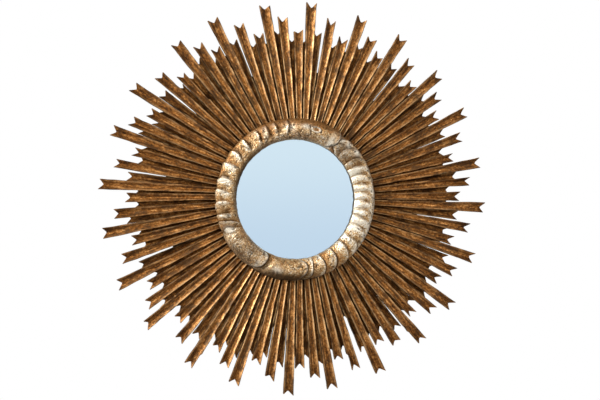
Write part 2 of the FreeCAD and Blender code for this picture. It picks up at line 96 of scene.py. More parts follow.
class Mark(str, Enum):
    """Values that the meshes carry for their finishes."""

    GRAIN = "grain"
    # rim: rubbed rims and silver, and also painted highlights and a painted reflection
    RIM = "rim"
    # grime: dirt, and also painted shade on side walls, edges, back rays and shaded flanks
    GRIME_AND_SHADE = "grime_and_shade"
    GILD = "gild"
    # gold: the glaze, with painted light that pales some flanks of the wreath
    GOLD = "gold"
    STIPPLE = "stipple"


class Join(str, Enum):
    """Ways to put two values of a finish together."""

    SUM = "ADD"
    PRODUCT = "MULTIPLY"
    LARGER = "MAXIMUM"
    SIZE = "ABSOLUTE"


def smooth_step(values: Array, low: float, high: float) -> Array:
    """A soft step from 0 at low to 1 at high."""
    share = np.clip((values - low) / (high - low), 0.0, 1.0)
    return share * share * (3.0 - 2.0 * share)


def bell(values: Array, middle: float, spread: float) -> Array:
    """1 at a middle value, falling off softly on both sides."""
    return np.exp(-(((values - middle) / spread) ** 2))


@dataclass(frozen=True)
class Ease:
    """A soft passage: as a value goes from start to end, the result goes from low to high."""

    start: float
    end: float
    low: float = 0.0
    high: float = 1.0

    def of(self, values: Array) -> Array:
        """The result at each value."""
        return self.low + (self.high - self.low) * smooth_step(values, self.start, self.end)


@dataclass(frozen=True)
class Cloud:
    """A noise in a finish: its scale to a metre, detail, roughness and stretch along the axes."""

    scale: float
    detail: float
    rough: float
    stretch: Triple = EVEN


class Bench:
    """A node tree of a material or a world, with short calls for the nodes that are used here."""

    def __init__(self, owner: bpy.types.Material | bpy.types.World) -> None:
        """Starts with the owner's own shader and output.

        Args:
            owner: a new material or world.
        """
        owner.use_nodes = True
        world = isinstance(owner, bpy.types.World)
        self.tree = owner.node_tree
        self.shader = self.tree.nodes["Background" if world else "Principled BSDF"]
        self.surface = self.tree.nodes["World Output" if world else "Material Output"].inputs["Surface"]

    def add(self, kind: str, **settings: object) -> bpy.types.Node:
        """Adds a node.

        Args:
            kind: the node's type.
            **settings: values of its properties.

        Returns:
            The new node.
        """
        node = self.tree.nodes.new(kind)
        for name, value in settings.items():
            setattr(node, name, value)
        return node

    def feed(self, target: Socket, source: Source | float) -> None:
        """Links a socket, or sets its own value where the source is a plain one.

        Args:
            target: the socket that is fed.
            source: another socket, a tone or a number.
        """
        if isinstance(source, bpy.types.NodeSocket):
            self.tree.links.new(source, target)
        elif isinstance(source, tuple):
            target.default_value = (*source, 1.0)
        else:
            target.default_value = source

    def made(
        self, kind: str, inputs: dict[str | int, Source | float], output: str, **settings: object
    ) -> Socket:
        """Adds a node and feeds it.

        Args:
            kind: the node's type.
            inputs: what each of its inputs gets.
            output: name of the wanted output.
            **settings: values of its properties.

        Returns:
            The wanted output.
        """
        node = self.add(kind, **settings)
        for name, source in inputs.items():
            self.feed(node.inputs[name], source)
        return node.outputs[output]

    def place(self) -> Socket:
        """Coordinates in the object's own metres."""
        return self.add("ShaderNodeTexCoord").outputs["Object"]

    def mark(self, mark: Mark, output: str = "Fac") -> Socket:
        """A value that the mesh carries."""
        return self.add("ShaderNodeAttribute", attribute_name=mark.value).outputs[output]

    def stretched(self, vector: Socket, scale: Triple) -> Socket:
        """Scales coordinates along each axis.

        Args:
            vector: the coordinates.
            scale: a factor for each axis.

        Returns:
            The scaled coordinates.
        """
        node = self.add("ShaderNodeMapping")
        self.feed(node.inputs["Vector"], vector)
        node.inputs["Scale"].default_value = scale
        return node.outputs["Vector"]

    def axis(self, vector: Socket, name: str) -> Socket:
        """One axis of a vector."""
        return self.made("ShaderNodeSeparateXYZ", {"Vector": vector}, name)

    def reach(self, vector: Socket, scale: Triple) -> Socket:
        """Distance from the origin, with each axis scaled first."""
        scaled = self.stretched(vector, scale)
        return self.made("ShaderNodeVectorMath", {0: scaled}, "Value", operation="LENGTH")

    def noise(self, vector: Socket, cloud: Cloud) -> Socket:
        """Lays a cloud.

        Args:
            vector: the coordinates.
            cloud: what the noise is like.

        Returns:
            Noise from 0 to 1.
        """
        if cloud.stretch != EVEN:
            vector = self.stretched(vector, cloud.stretch)
        inputs = {"Vector": vector, "Scale": cloud.scale, "Detail": cloud.detail, "Roughness": cloud.rough}
        return self.made("ShaderNodeTexNoise", inputs, "Fac")

    def cells(self, vector: Socket, scale: float) -> Socket:
        """Distance to the nearest of scattered points, for pits."""
        return self.made("ShaderNodeTexVoronoi", {"Vector": vector, "Scale": scale}, "Distance")

    def eased(self, value: Socket, ease: Ease) -> Socket:
        """Takes a value through a soft passage.

        Args:
            value: the value.
            ease: the passage.

        Returns:
            The result, which stays between the passage's low and high.
        """
        names = ("From Min", "From Max", "To Min", "To Max")
        inputs = dict(zip(names, (ease.start, ease.end, ease.low, ease.high)))
        return self.made(
            "ShaderNodeMapRange", {"Value": value, **inputs}, "Result", interpolation_type="SMOOTHSTEP"
        )

    def joined(self, join: Join, first: Socket, second: Socket | float = 0.0) -> Socket:
        """Two values put together."""
        return self.made("ShaderNodeMath", {0: first, 1: second}, "Value", operation=join.value)

    def ramp(self, value: Socket, stops: Sequence[float], tones: Sequence[Tone]) -> Socket:
        """Lays tones along a value.

        Args:
            value: the value.
            stops: where each tone is reached.
            tones: the tones.

        Returns:
            The colour at each value.
        """
        node = self.add("ShaderNodeValToRGB")
        self.feed(node.inputs["Fac"], value)
        elements = node.color_ramp.elements
        while len(elements) < len(stops):
            elements.new(0.5)  # its own place follows
        for element, stop, tone in zip(elements, stops, tones):
            element.position = stop
            element.color = (*tone, 1.0)
        return node.outputs["Color"]

    def mixed(self, share: Socket, first: Source, second: Source) -> Socket:
        """Lets one colour go over to another.

        Args:
            share: 0 for the first colour, 1 for the second.
            first: a colour.
            second: another colour.

        Returns:
            The mixed colour.
        """
        node = self.add("ShaderNodeMix", data_type="RGBA")
        self.feed(node.inputs["Factor"], share)
        colours = [socket for socket in node.inputs if socket.type == "RGBA"]
        self.feed(colours[0], first)
        self.feed(colours[1], second)
        return next(socket for socket in node.outputs if socket.type == "RGBA")

    def bump(self, height: Socket, distance: float, under: Socket | None = None) -> Socket:
        """A bumped normal from a height of 0 to 1 and its size in metres, on another where one is given."""
        below = {} if under is None else {"Normal": under}
        return self.made("ShaderNodeBump", {"Height": height, "Distance": distance, **below}, "Normal")

    def gloss(self, level: Socket | float, tint: Tone = WHITE) -> None:
        """Sets how strong the shader's highlights are, and their tone."""
        self.feed(self.shader.inputs["Specular IOR Level"], level)
        self.feed(self.shader.inputs["Specular Tint"], tint)

    def finish(self, colour: Source, rough: Socket | float, metal: Socket | float, normal: Socket) -> None:
        """Feeds the shader.

        Args:
            colour: base colour.
            rough: roughness.
            metal: how metallic it is.
            normal: the bumped normal.
        """
        inputs = {"Base Color": colour, "Roughness": rough, "Metallic": metal, "Normal": normal}
        for name, source in inputs.items():
            self.feed(self.shader.inputs[name], source)


class Finish(ABC):
    """A surface finish, made once as a material."""

    name: str
    slot: str
    made: ClassVar[dict[str, bpy.types.Material]] = {}

    def material(self) -> bpy.types.Material:
        """Makes the material at its first use.

        Returns:
            The finish's material.
        """
        if self.name not in self.made:
            material = bpy.data.materials.new(self.name)
            self.lay(Bench(material))
            self.made[self.name] = material
        return self.made[self.name]

    @abstractmethod
    def lay(self, bench: Bench) -> None:
        """Builds the finish on a bench."""


@dataclass(frozen=True)
class WornGilt(Finish):
    """Bronze leaf over dark wood, rubbed pale on the rims and dark where dust has settled, with painted
    shade on the side walls, edges, roots and back rays and a painted highlight on the rims of upright rays.
    """

    name: str = "worn_gilt"
    slot: str = "gilt_rays"
    umber: Tone = (0.018, 0.006, 0.002)
    bronze: Tone = (0.100, 0.033, 0.006)
    gold: Tone = (0.268, 0.099, 0.018)
    bright: Tone = (0.600, 0.300, 0.098)
    pale: Tone = (0.640, 0.415, 0.200)
    haze: Tone = (0.046, 0.022, 0.010)
    wood: Tone = (0.055, 0.027, 0.012)
    pale_wood: Tone = (0.165, 0.090, 0.043)
    sheen: Tone = (1.0, 0.70, 0.38)
    streaks: Cloud = Cloud(200.0, 4.0, 0.58, (0.10, 1.0, 1.0))
    clouds: Cloud = Cloud(70.0, 6.0, 0.62, (0.45, 1.0, 1.0))
    mottle: Cloud = Cloud(250.0, 5.0, 0.70, (0.60, 1.0, 1.0))
    pits: Cloud = Cloud(900.0, 3.0, 0.50)
    mottling: Ease = Ease(0.30, 0.70, -0.19, 0.19)
    leaf_stops: tuple[float, ...] = (0.23, 0.39, 0.58, 0.79)
    smudging: Ease = Ease(0.50, 0.64, 0.0, 0.76)
    dusting: Ease = Ease(0.35, 0.60, 0.70, 1.0)
    rubbing: Ease = Ease(0.60, 0.42, 0.06, 0.66)
    timbering: Ease = Ease(0.36, 0.64)
    roughening: Ease = Ease(0.30, 0.75, 0.52, 0.34)
    metalling: Ease = Ease(0.70, 0.48, 0.10, 0.48)
    glossing: Ease = Ease(0.10, 0.80, 0.42, 0.04)
    ridge_height: float = 0.0007
    pit_depth: float = 0.0003

    def lay(self, bench: Bench) -> None:
        """Builds the finish: leaf, smudges, grime with painted shade, rubbed rims with a painted highlight,
        and wood where there is no gilding.

        Args:
            bench: the material's nodes.
        """
        grain = bench.mark(Mark.GRAIN, "Vector")
        gild = bench.mark(Mark.GILD)
        streaks, clouds, mottle, pits = (
            bench.noise(grain, cloud) for cloud in (self.streaks, self.clouds, self.mottle, self.pits)
        )
        leaf = bench.joined(Join.SUM, streaks, bench.eased(mottle, self.mottling))
        colour = bench.ramp(leaf, self.leaf_stops, (self.umber, self.bronze, self.gold, self.bright))
        colour = bench.mixed(bench.eased(clouds, self.smudging), colour, self.haze)
        # The grime mark brings painted shade as well as dust, and the rim mark a painted highlight on
        # upright rays as well as rubbing.
        grime_and_shade = bench.joined(Join.PRODUCT, bench.mark(Mark.GRIME_AND_SHADE), bench.eased(clouds, self.dusting))
        colour = bench.mixed(grime_and_shade, colour, self.umber)
        rubbed = bench.joined(Join.PRODUCT, bench.mark(Mark.RIM), bench.eased(clouds, self.rubbing))
        colour = bench.mixed(rubbed, colour, self.pale)
        timber = bench.mixed(bench.eased(streaks, self.timbering), self.wood, self.pale_wood)
        colour = bench.mixed(gild, timber, colour)
        rough = bench.eased(leaf, self.roughening)
        metal = bench.joined(Join.PRODUCT, gild, bench.eased(clouds, self.metalling))
        bench.gloss(bench.eased(grime_and_shade, self.glossing), self.sheen)
        ridges = bench.bump(leaf, self.ridge_height)
        bench.finish(colour, rough, metal, bench.bump(pits, self.pit_depth, ridges))


@dataclass(frozen=True)
class SilverGilt(Finish):
    """Silver leaf with a gold glaze, rubbed through to brown, pitted and stippled."""

    name: str = "silver_gilt"
    slot: str = "silver_gilt"
    umber: Tone = (0.026, 0.013, 0.005)
    ochre: Tone = (0.330, 0.186, 0.076)
    amber: Tone = (0.290, 0.124, 0.030)
    straw: Tone = (0.510, 0.330, 0.148)
    silver: Tone = (0.680, 0.615, 0.500)
    dust: Tone = (0.132, 0.095, 0.068)
    bole: Tone = (0.150, 0.062, 0.022)
    sheen: Tone = (1.0, 0.84, 0.62)
    flakes: Cloud = Cloud(290.0, 5.0, 0.68)
    patches: Cloud = Cloud(42.0, 5.0, 0.60)
    punches: Cloud = Cloud(360.0, 4.0, 0.70)
    freckles: Cloud = Cloud(240.0, 4.0, 0.70)
    soot: Cloud = Cloud(150.0, 6.0, 0.72)
    pores: float = 260.0
    flaking: Ease = Ease(0.30, 0.70, -0.48, 0.48)
    patching: Ease = Ease(0.30, 0.70, -0.20, 0.20)
    glaze_stops: tuple[float, ...] = (0.08, 0.46, 0.86, 1.00)
    punching: Ease = Ease(0.42, 0.60, 1.0, 0.0)
    freckling: Ease = Ease(0.535, 0.60, 0.0, 0.80)
    freckles_on_gold: Ease = Ease(0.02, 0.42, 0.30, 1.0)
    specking: Ease = Ease(0.20, 0.06)
    specks_on_patches: Ease = Ease(0.35, 0.60, 0.10, 0.90)
    sooting: Ease = Ease(0.52, 0.62, 0.0, 0.85)
    soot_on_gold: Ease = Ease(0.10, 0.60, 0.10, 1.0)
    punched_dull: float = 0.7
    freckled_dull: float = 0.5
    roughening: Ease = Ease(0.30, 0.70, 0.30, 0.52)
    metalling: Ease = Ease(0.0, 0.50, 0.66, 0.0)
    glossing: Ease = Ease(0.10, 0.70, 0.50, 0.05)
    pore_edge: Ease = Ease(0.0, 0.26)
    pore_depth: float = 0.0006
    flake_height: float = 0.0014

    def lay(self, bench: Bench) -> None:
        """Builds the finish: glaze with painted light, punched ground, freckles, rubbed silver with painted
        highlights, then specks, and grime with painted shade.

        Args:
            bench: the material's nodes.
        """
        place = bench.place()
        flakes, patches, punches, freckles, soot = (
            bench.noise(place, cloud)
            for cloud in (self.flakes, self.patches, self.punches, self.freckles, self.soot)
        )
        pores = bench.cells(place, self.pores)
        glaze = bench.joined(Join.SUM, bench.mark(Mark.GOLD), bench.eased(flakes, self.flaking))
        glaze = bench.joined(Join.SUM, glaze, bench.eased(patches, self.patching))
        colour = bench.ramp(glaze, self.glaze_stops, (self.silver, self.straw, self.ochre, self.amber))
        stipple = bench.joined(Join.PRODUCT, bench.mark(Mark.STIPPLE), bench.eased(punches, self.punching))
        colour = bench.mixed(stipple, colour, self.dust)
        freckled = bench.joined(
            Join.PRODUCT, bench.eased(freckles, self.freckling), bench.eased(glaze, self.freckles_on_gold)
        )
        colour = bench.mixed(freckled, colour, self.bole)
        # The rim mark lays silver for rubbing, and also for painted highlights and a painted reflection on
        # the lip.
        colour = bench.mixed(bench.mark(Mark.RIM), colour, self.silver)
        specked = bench.joined(
            Join.PRODUCT, bench.eased(pores, self.specking), bench.eased(patches, self.specks_on_patches)
        )
        sooted = bench.joined(
            Join.PRODUCT, bench.eased(soot, self.sooting), bench.eased(glaze, self.soot_on_gold)
        )
        worn = bench.joined(Join.LARGER, specked, sooted)
        # The grime mark brings painted shade as well as dirt.
        dirt_and_shade = bench.joined(Join.LARGER, bench.mark(Mark.GRIME_AND_SHADE), worn)
        colour = bench.mixed(dirt_and_shade, colour, self.umber)
        dull = dirt_and_shade
        for stain, share in ((stipple, self.punched_dull), (freckled, self.freckled_dull)):
            dull = bench.joined(Join.LARGER, dull, bench.joined(Join.PRODUCT, stain, share))
        bench.gloss(bench.eased(dull, self.glossing), self.sheen)
        sunk = bench.bump(bench.eased(pores, self.pore_edge), self.pore_depth)
        bench.finish(
            colour, bench.eased(flakes, self.roughening), bench.eased(dull, self.metalling),
            bench.bump(flakes, self.flake_height, sunk),
        )


@dataclass(frozen=True)
class MirrorSilver(Finish):
    """Silvered plate with a painted reflection: a pale blue tint, a little deeper in tone towards its foot,
    faintly aged at the edge.
    """

    name: str = "mirror_silver"
    slot: str = "mirror_plate"
    radius: float = 0.155
    aged_from: float = 0.93
    # head and foot are a painted reflection: pale blue at the top, deeper towards the foot
    head: Tone = (0.640, 0.790, 0.890)
    foot: Tone = (0.530, 0.680, 0.825)
    aged: Tone = (0.300, 0.330, 0.340)
    spots: Cloud = Cloud(90.0, 6.0, 0.70)
    ripple: Cloud = Cloud(5.0, 1.0, 0.30)
    spotting: Ease = Ease(0.52, 0.72, 0.0, 0.60)
    roughening: Ease = Ease(0.0, 0.60, 0.02, 0.035)
    ripple_height: float = 0.00004

    def lay(self, bench: Bench) -> None:
        """Builds the finish: a painted reflection as a tint that falls with height, and spots near the
        edge.

        Args:
            bench: the material's nodes.
        """
        place = bench.place()
        height = bench.eased(bench.axis(place, "Z"), Ease(-self.radius, self.radius))
        colour = bench.mixed(height, self.foot, self.head)
        rim = Ease(self.aged_from * self.radius, self.radius)
        edge = bench.eased(bench.reach(place, (1.0, 0.0, 1.0)), rim)
        spots = bench.eased(bench.noise(place, self.spots), self.spotting)
        colour = bench.mixed(bench.joined(Join.PRODUCT, edge, spots), colour, self.aged)
        ripple = bench.noise(place, self.ripple)
        rough = bench.eased(spots, self.roughening)
        bench.finish(colour, rough, 1.0, bench.bump(ripple, self.ripple_height))


@dataclass(frozen=True)
class Plywood(Finish):
    """Plywood under a thin brown stain: grain on the faces and bands of veneer at the edges."""

    name: str
    along: Triple
    light: Tone
    dark: Tone
    slot: str = "plywood"
    glue: Tone = (0.030, 0.017, 0.010)
    worn: Tone = (0.300, 0.205, 0.130)
    figure: Cloud = Cloud(7.0, 6.0, 0.60)
    fibres: Cloud = Cloud(60.0, 3.0, 0.60)
    veneers: Cloud = Cloud(520.0, 1.0, 0.40, (0.02, 1.0, 0.02))
    stains: Cloud = Cloud(9.0, 5.0, 0.65)
    rubs: Cloud = Cloud(26.0, 6.0, 0.70)
    figuring: Ease = Ease(0.35, 0.65)
    fibring: Ease = Ease(0.56, 0.72, 0.0, 0.70)
    veneering: Ease = Ease(0.42, 0.58)
    facing: Ease = Ease(0.40, 0.80)
    staining: Ease = Ease(0.55, 0.75, 0.0, 0.45)
    rubbing: Ease = Ease(0.66, 0.74, 0.0, 0.45)
    roughening: Ease = Ease(0.30, 0.70, 0.62, 0.78)
    gloss: float = 0.22
    fibre_height: float = 0.0003

    def lay(self, bench: Bench) -> None:
        """Builds the finish: grain on the faces, veneers at the edges, stains and rubs over both.

        Args:
            bench: the material's nodes.
        """
        place = bench.place()
        grain = bench.stretched(place, self.along)
        fibres = bench.noise(grain, self.fibres)
        figured = bench.eased(bench.noise(grain, self.figure), self.figuring)
        face = bench.mixed(figured, self.light, self.dark)
        face = bench.mixed(bench.eased(fibres, self.fibring), face, self.dark)
        banded = bench.eased(bench.noise(place, self.veneers), self.veneering)
        edge = bench.mixed(banded, self.glue, self.light)
        normal = bench.add("ShaderNodeNewGeometry").outputs["Normal"]
        flat = bench.eased(bench.joined(Join.SIZE, bench.axis(normal, "Y")), self.facing)
        colour = bench.mixed(flat, edge, face)
        for cloud, ease, tone in (
            (self.stains, self.staining, self.dark), (self.rubs, self.rubbing, self.worn),
        ):
            colour = bench.mixed(bench.eased(bench.noise(place, cloud), ease), colour, tone)
        bench.gloss(self.gloss)
        rough = bench.eased(fibres, self.roughening)
        bench.finish(colour, rough, 0.0, bench.bump(fibres, self.fibre_height))


@dataclass(frozen=True)
class Board(Finish):
    """Pressed board or card: felted fibre with a few scuffs."""

    name: str
    slot: str
    light: Tone
    dark: Tone
    scuff: Tone
    fibre: Cloud = Cloud(420.0, 5.0, 0.70)
    scuffs: Cloud = Cloud(4.0, 5.0, 0.70, (6.0, 1.0, 40.0))
    shadows: Cloud = Cloud(16.0, 4.0, 0.60)
    felting: Ease = Ease(0.30, 0.70)
    scuffing: Ease = Ease(0.62, 0.72, 0.0, 0.50)
    shading: Ease = Ease(0.55, 0.75, 0.0, 0.40)
    roughening: Ease = Ease(0.30, 0.70, 0.55, 0.72)
    fibre_height: float = 0.00025

    def lay(self, bench: Bench) -> None:
        """Builds the finish: fibre, then scuffs, then soft shadows.

        Args:
            bench: the material's nodes.
        """
        place = bench.place()
        fibre = bench.noise(place, self.fibre)
        colour = bench.mixed(bench.eased(fibre, self.felting), self.dark, self.light)
        for cloud, ease, tone in (
            (self.scuffs, self.scuffing, self.scuff), (self.shadows, self.shading, self.dark),
        ):
            colour = bench.mixed(bench.eased(bench.noise(place, cloud), ease), colour, tone)
        rough = bench.eased(fibre, self.roughening)
        bench.finish(colour, rough, 0.0, bench.bump(fibre, self.fibre_height))


@dataclass(frozen=True)
class PlatedSteel(Finish):
    """Plated steel with a brushed grain and dull spots."""

    name: str
    slot: str
    bright: Tone
    dull: Tone
    rough: float
    rougher: float = 0.25
    brushed: Cloud = Cloud(2400.0, 3.0, 0.60, (1.0, 1.0, 0.15))
    spots: Cloud = Cloud(300.0, 5.0, 0.65)
    spotting: Ease = Ease(0.50, 0.72, 0.0, 0.85)
    roughening: Span = (0.40, 0.75)
    metalling: Ease = Ease(0.55, 0.80, 1.0, 0.60)
    brush_depth: float = 0.00008

    def lay(self, bench: Bench) -> None:
        """Builds the finish: plating that is dull and rougher in spots.

        Args:
            bench: the material's nodes.
        """
        place = bench.place()
        spots = bench.noise(place, self.spots)
        colour = bench.mixed(bench.eased(spots, self.spotting), self.bright, self.dull)
        rough = bench.eased(spots, Ease(*self.roughening, self.rough, self.rough + self.rougher))
        brushed = bench.bump(bench.noise(place, self.brushed), self.brush_depth)
        bench.finish(colour, rough, bench.eased(spots, self.metalling), brushed)


GILT = WornGilt()
LEAF_SILVER = SilverGilt()
PLATE = MirrorSilver()
PANEL_PLY = Plywood("panel_plywood", (14.0, 4.0, 1.0), (0.170, 0.104, 0.062), (0.088, 0.050, 0.029))
COVER_PLY = Plywood("cover_plywood", (1.0, 4.0, 14.0), (0.135, 0.080, 0.047), (0.070, 0.039, 0.023))
HARDBOARD = Board(
    "hardboard", "hardboard",
    light=(0.235, 0.130, 0.062), dark=(0.120, 0.062, 0.030), scuff=(0.340, 0.215, 0.120),
)
PACKING = Board(
    "card_packing", "card_packing",
    light=(0.420, 0.310, 0.190), dark=(0.290, 0.205, 0.120), scuff=(0.520, 0.410, 0.270),
)
ZINC = PlatedSteel("zinc_steel", "zinc_steel", (0.620, 0.630, 0.640), (0.330, 0.330, 0.320), 0.28)
SCREW_STEEL = PlatedSteel("screw_steel", "screw_steel", (0.560, 0.470, 0.300), (0.270, 0.200, 0.110), 0.32)
ZINC_SCREW = PlatedSteel("zinc_screw", "zinc_steel", (0.600, 0.605, 0.610), (0.300, 0.300, 0.290), 0.30)
BRAD_STEEL = PlatedSteel("brad_steel", "screw_steel", (0.200, 0.105, 0.036), (0.060, 0.030, 0.012), 0.42)


class Carving:
    """Points, faces and marks of several forms that grow into one mesh."""

    def __init__(self) -> None:
        """Starts with nothing carved."""
        self.points: list[Array] = []
        self.faces: list[tuple[int, ...]] = []
        self.marks: dict[Mark, list[Array]] = {}

    def add(self, points: Array, faces: Faces, marks: dict[Mark, Array]) -> None:
        """Adds one form.

        Args:
            points: places of its vertices, one to a row.
            faces: corner numbers of its faces, counted within the form.
            marks: a value, or a row of three, for each vertex.
        """
        first = sum(len(block) for block in self.points)
        self.points.append(points)
        self.faces.extend(tuple(int(corner) + first for corner in face) for face in faces)
        for mark, values in marks.items():
            self.marks.setdefault(mark, []).append(values)

    def piece(self, name: str, finish: Finish, body: Body, crease: float = 38.0) -> bpy.types.Object:
        """Makes the mesh and sets it on its body.

        Args:
            name: name of the piece.
            finish: its finish.
            body: the body that it moves with.
            crease: angle in degrees from which an edge stays sharp.

        Returns:
            The new object.
        """
        mesh = bpy.data.meshes.new(name)
        points = np.clip(np.concatenate(self.points), np.array(CAD_BOUNDS[0]), np.array(CAD_BOUNDS[1]))
        mesh.from_pydata(points.tolist(), [], self.faces)
        for mark, blocks in self.marks.items():
            values = np.concatenate(blocks).astype(np.float32)
            kind, key = ("FLOAT_VECTOR", "vector") if values.ndim == 2 else ("FLOAT", "value")
            mesh.attributes.new(mark.value, kind, "POINT").data.foreach_set(key, values.ravel())
        mesh.polygons.foreach_set("use_smooth", [True] * len(mesh.polygons))
        mesh.set_sharp_from_angle(angle=math.radians(crease))
        mesh.materials.append(finish.material())
        item = bpy.data.objects.new(name, mesh)
        bpy.context.scene.collection.objects.link(item)
        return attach(item, body.value)


def tube_faces(rows: int, loop: int) -> list[tuple[int, ...]]:
    """Lays faces round a tube.

    Args:
        rows: number of rows of points.
        loop: number of points in a row, which is a closed loop.

    Returns:
        The corner numbers of each face.
    """
    faces = []
    for here in range(0, (rows - 1) * loop, loop):
        for step in range(loop):
            after = (step + 1) % loop
            faces.append((here + step, here + after, here + loop + after, here + loop + step))
    return faces


def hoop_faces(rows: int, loop: int) -> list[tuple[int, ...]]:
    """Faces of a tube whose last row joins its first, turned the other way out."""
    count = rows * loop
    return [tuple(corner % count for corner in face[::-1]) for face in tube_faces(rows + 1, loop)]


def node_points(node: str) -> Array:
    """Vertices of a CAD node, one to a row."""
    return np.array([vertex.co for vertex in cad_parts[node].data.vertices])


def solids_of(node: str) -> list[Array]:
    """Parts a CAD node into its separate solids.

    Args:
        node: name of the node.

    Returns:
        The vertices of each solid.
    """
    keys, owner = np.unique(np.round(node_points(node), DECIMALS), axis=0, return_inverse=True)
    owner = owner.ravel()
    parent = list(range(len(keys)))

    def root(item: int) -> int:
        """Finds the point that stands for a solid.

        Args:
            item: a point of the solid.

        Returns:
            The first point of its chain.
        """
        while parent[item] != item:
            parent[item] = parent[parent[item]]
            item = parent[item]
        return item

    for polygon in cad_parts[node].data.polygons:
        first, *others = (int(owner[vertex]) for vertex in polygon.vertices)
        for other in others:
            parent[root(other)] = root(first)
    roots = np.array([root(item) for item in range(len(keys))])
    return [keys[roots == number] for number in np.unique(roots)]


@dataclass(frozen=True)
class RayBlank:
    """The plain strip that a ray is carved from, measured off its CAD solid."""

    root: Array
    along: Array
    length: float
    root_half: float
    tip_half: float
    back: float
    front: float

    @property
    def right(self) -> Array:
        """The plan direction to the right of the ray, seen from the front with its tip up."""
        return np.array((self.along[1], -self.along[0]))

    @classmethod
    def measured(cls, points: Array) -> "RayBlank":
        """Reads a blank off the vertices of one solid.

        Args:
            points: the solid's vertices.

        Returns:
            The blank, with its axis along the solid's longest way, towards the tip.
        """
        plan = points[:, [0, 2]]
        middle = plan.mean(axis=0)
        along = np.linalg.eigh(np.cov((plan - middle).T))[1][:, 1]
        along = along if along @ middle > 0 else -along
        right = np.array((along[1], -along[0]))
        reach, aside = plan @ along, plan @ right
        at_root, at_tip = reach < reach.min() + TOUCH, reach > reach.max() - TOUCH
        return cls(
            root=along * reach.min() + right * aside[at_root].mean(),
            along=along,
            length=float(np.ptp(reach)),
            root_half=float(np.ptp(aside[at_root]) / 2),
            tip_half=float(np.ptp(aside[at_tip]) / 2),
            back=float(points[:, 1].max()),
            front=float(points[:, 1].min()),
        )

    def half(self, along: Array | float) -> Array | float:
        """Half the width at a distance from the root."""
        return self.root_half + (self.tip_half - self.root_half) * along / self.length

    def place(self, along: Array, across: Array, level: Array) -> Array:
        """Points in the frame from distances along and across the ray and their Y."""
        plan = self.root + along[..., None] * self.along + across[..., None] * self.right
        return np.stack((plan[..., 0], level, plan[..., 1]), axis=-1)


@dataclass(frozen=True)
class Sway:
    """A smooth seeded wander about zero along a length, as a hand tool leaves.

    It is a sum of waves, the longest of which is as long as wave says.
    """

    size: float
    wave: float
    waves: int = 4
    shortest: float = 0.25

    def drawn(self, chance: Chance, along: Array) -> Array:
        """Draws the waves.

        Args:
            chance: the seeded source.
            along: places along the length.

        Returns:
            The wander at each place, mostly within the size.
        """
        pitch = 2.0 * math.pi / (self.wave * chance.uniform(self.shortest, 1.0, self.waves))
        phase = chance.uniform(0.0, 2.0 * math.pi, self.waves)
        total = np.sin(along[..., None] * pitch + phase).sum(axis=-1)
        return self.size * total / math.sqrt(2 * self.waves)


@dataclass(frozen=True)
class RayWear:
    """Where a ray is rubbed and where it is dirty, and where shade and a highlight are painted on it.

    The eases of rims and edges go by the place across the ray, 0 in the middle to 1 at the edge.
    The others go by the share of its length, apart from root_dirt_and_shade, which goes by metres.
    wall_place is the middle and half width of the dust on the walls of the flute.
    """

    # painted shade and dust over the back rays, which lie behind the front ones
    soil_and_shade: float = 0.0
    soil_fade: Ease = Ease(0.98, 0.70)
    rim_wall: Ease = Ease(0.42, 0.84)
    rim_edge: Ease = Ease(1.02, 0.92)
    tip_rubbing: Ease = Ease(0.62, 0.97, 1.0, 0.30)
    level_highlight_loss: float = 0.55  # painted highlight: the pale rubbing that a level ray lacks, since the side lamp rakes along it
    wall_dirt: float = 0.12
    wall_place: Span = (0.55, 0.18)
    # dirt and painted shade at the root, under the ring's edge
    root_dirt_and_shade: Ease = Ease(0.075, 0.03, 0.0, 0.30)
    nick_dirt: float = 0.6
    # painted shade: a dark line along each edge of a ray, for the shadowed gap beside it
    edge_shade: Ease = Ease(0.90, 0.98, 0.0, 0.70)
    outer_dirt: Ease = Ease(0.40, 0.80, 0.0, 0.18)
    tip_dirt: Ease = Ease(0.78, 1.0, 0.0, 0.34)
    most_dirt_and_shade: float = 0.90
    # painted shade: the side walls are dark umber for the shadowed gaps between rays
    flank_shade: float = 0.97
    grain_range: float = 40.0  # each ray's grain starts somewhere in it

    def marks(
        self, blank: RayBlank, along: Array, aside: Array, across: Array, nicked: Array, chance: Chance
    ) -> dict[Mark, Array]:
        """Marks the front columns of a ray, then the back ones in reverse.

        Args:
            blank: the ray.
            along: distance of each point from the root.
            aside: distance of each point from the axis.
            across: place of each column, -1 to 1.
            nicked: how deep in a nick each point lies, 0 to 1.
            chance: the seeded source of its grain.

        Returns:
            The values of each mark, one to a point.
        """
        start = np.full_like(along, chance.uniform(0.0, self.grain_range))
        grain = np.stack((along, aside, start), axis=-1)
        edge = np.abs(across)[None, :] * np.ones_like(along)
        far = along / blank.length
        rim = self.rim_wall.of(edge) * self.rim_edge.of(edge) * (1.0 - nicked) * self.tip_rubbing.of(far)
        rim *= 1.0 - self.level_highlight_loss * blank.along[0] ** 2
        dirt_and_shade = self.soil_and_shade * self.soil_fade.of(far) + self.wall_dirt * bell(edge, *self.wall_place)
        dirt_and_shade += self.root_dirt_and_shade.of(along) + self.nick_dirt * nicked + self.edge_shade.of(edge)
        dirt_and_shade += self.outer_dirt.of(far) + self.tip_dirt.of(far)
        grime_and_shade = np.clip(dirt_and_shade, 0.0, self.most_dirt_and_shade)
        none, behind = np.zeros_like(rim), np.zeros_like(rim)
        for side in (0, -1):
            # painted shade on the side walls and dark backs
            rim[:, side], grime_and_shade[:, side], behind[:, side] = 0.0, self.flank_shade, 1.0
        pairs = {
            Mark.GRAIN: (grain, grain), Mark.RIM: (rim, none),
            Mark.GRIME_AND_SHADE: (grime_and_shade, self.flank_shade * behind), Mark.GILD: (none + 1.0, behind),
        }
        return {
            mark: np.concatenate((front, back[:, ::-1]), axis=1).reshape(-1, *front.shape[2:])
            for mark, (front, back) in pairs.items()
        }


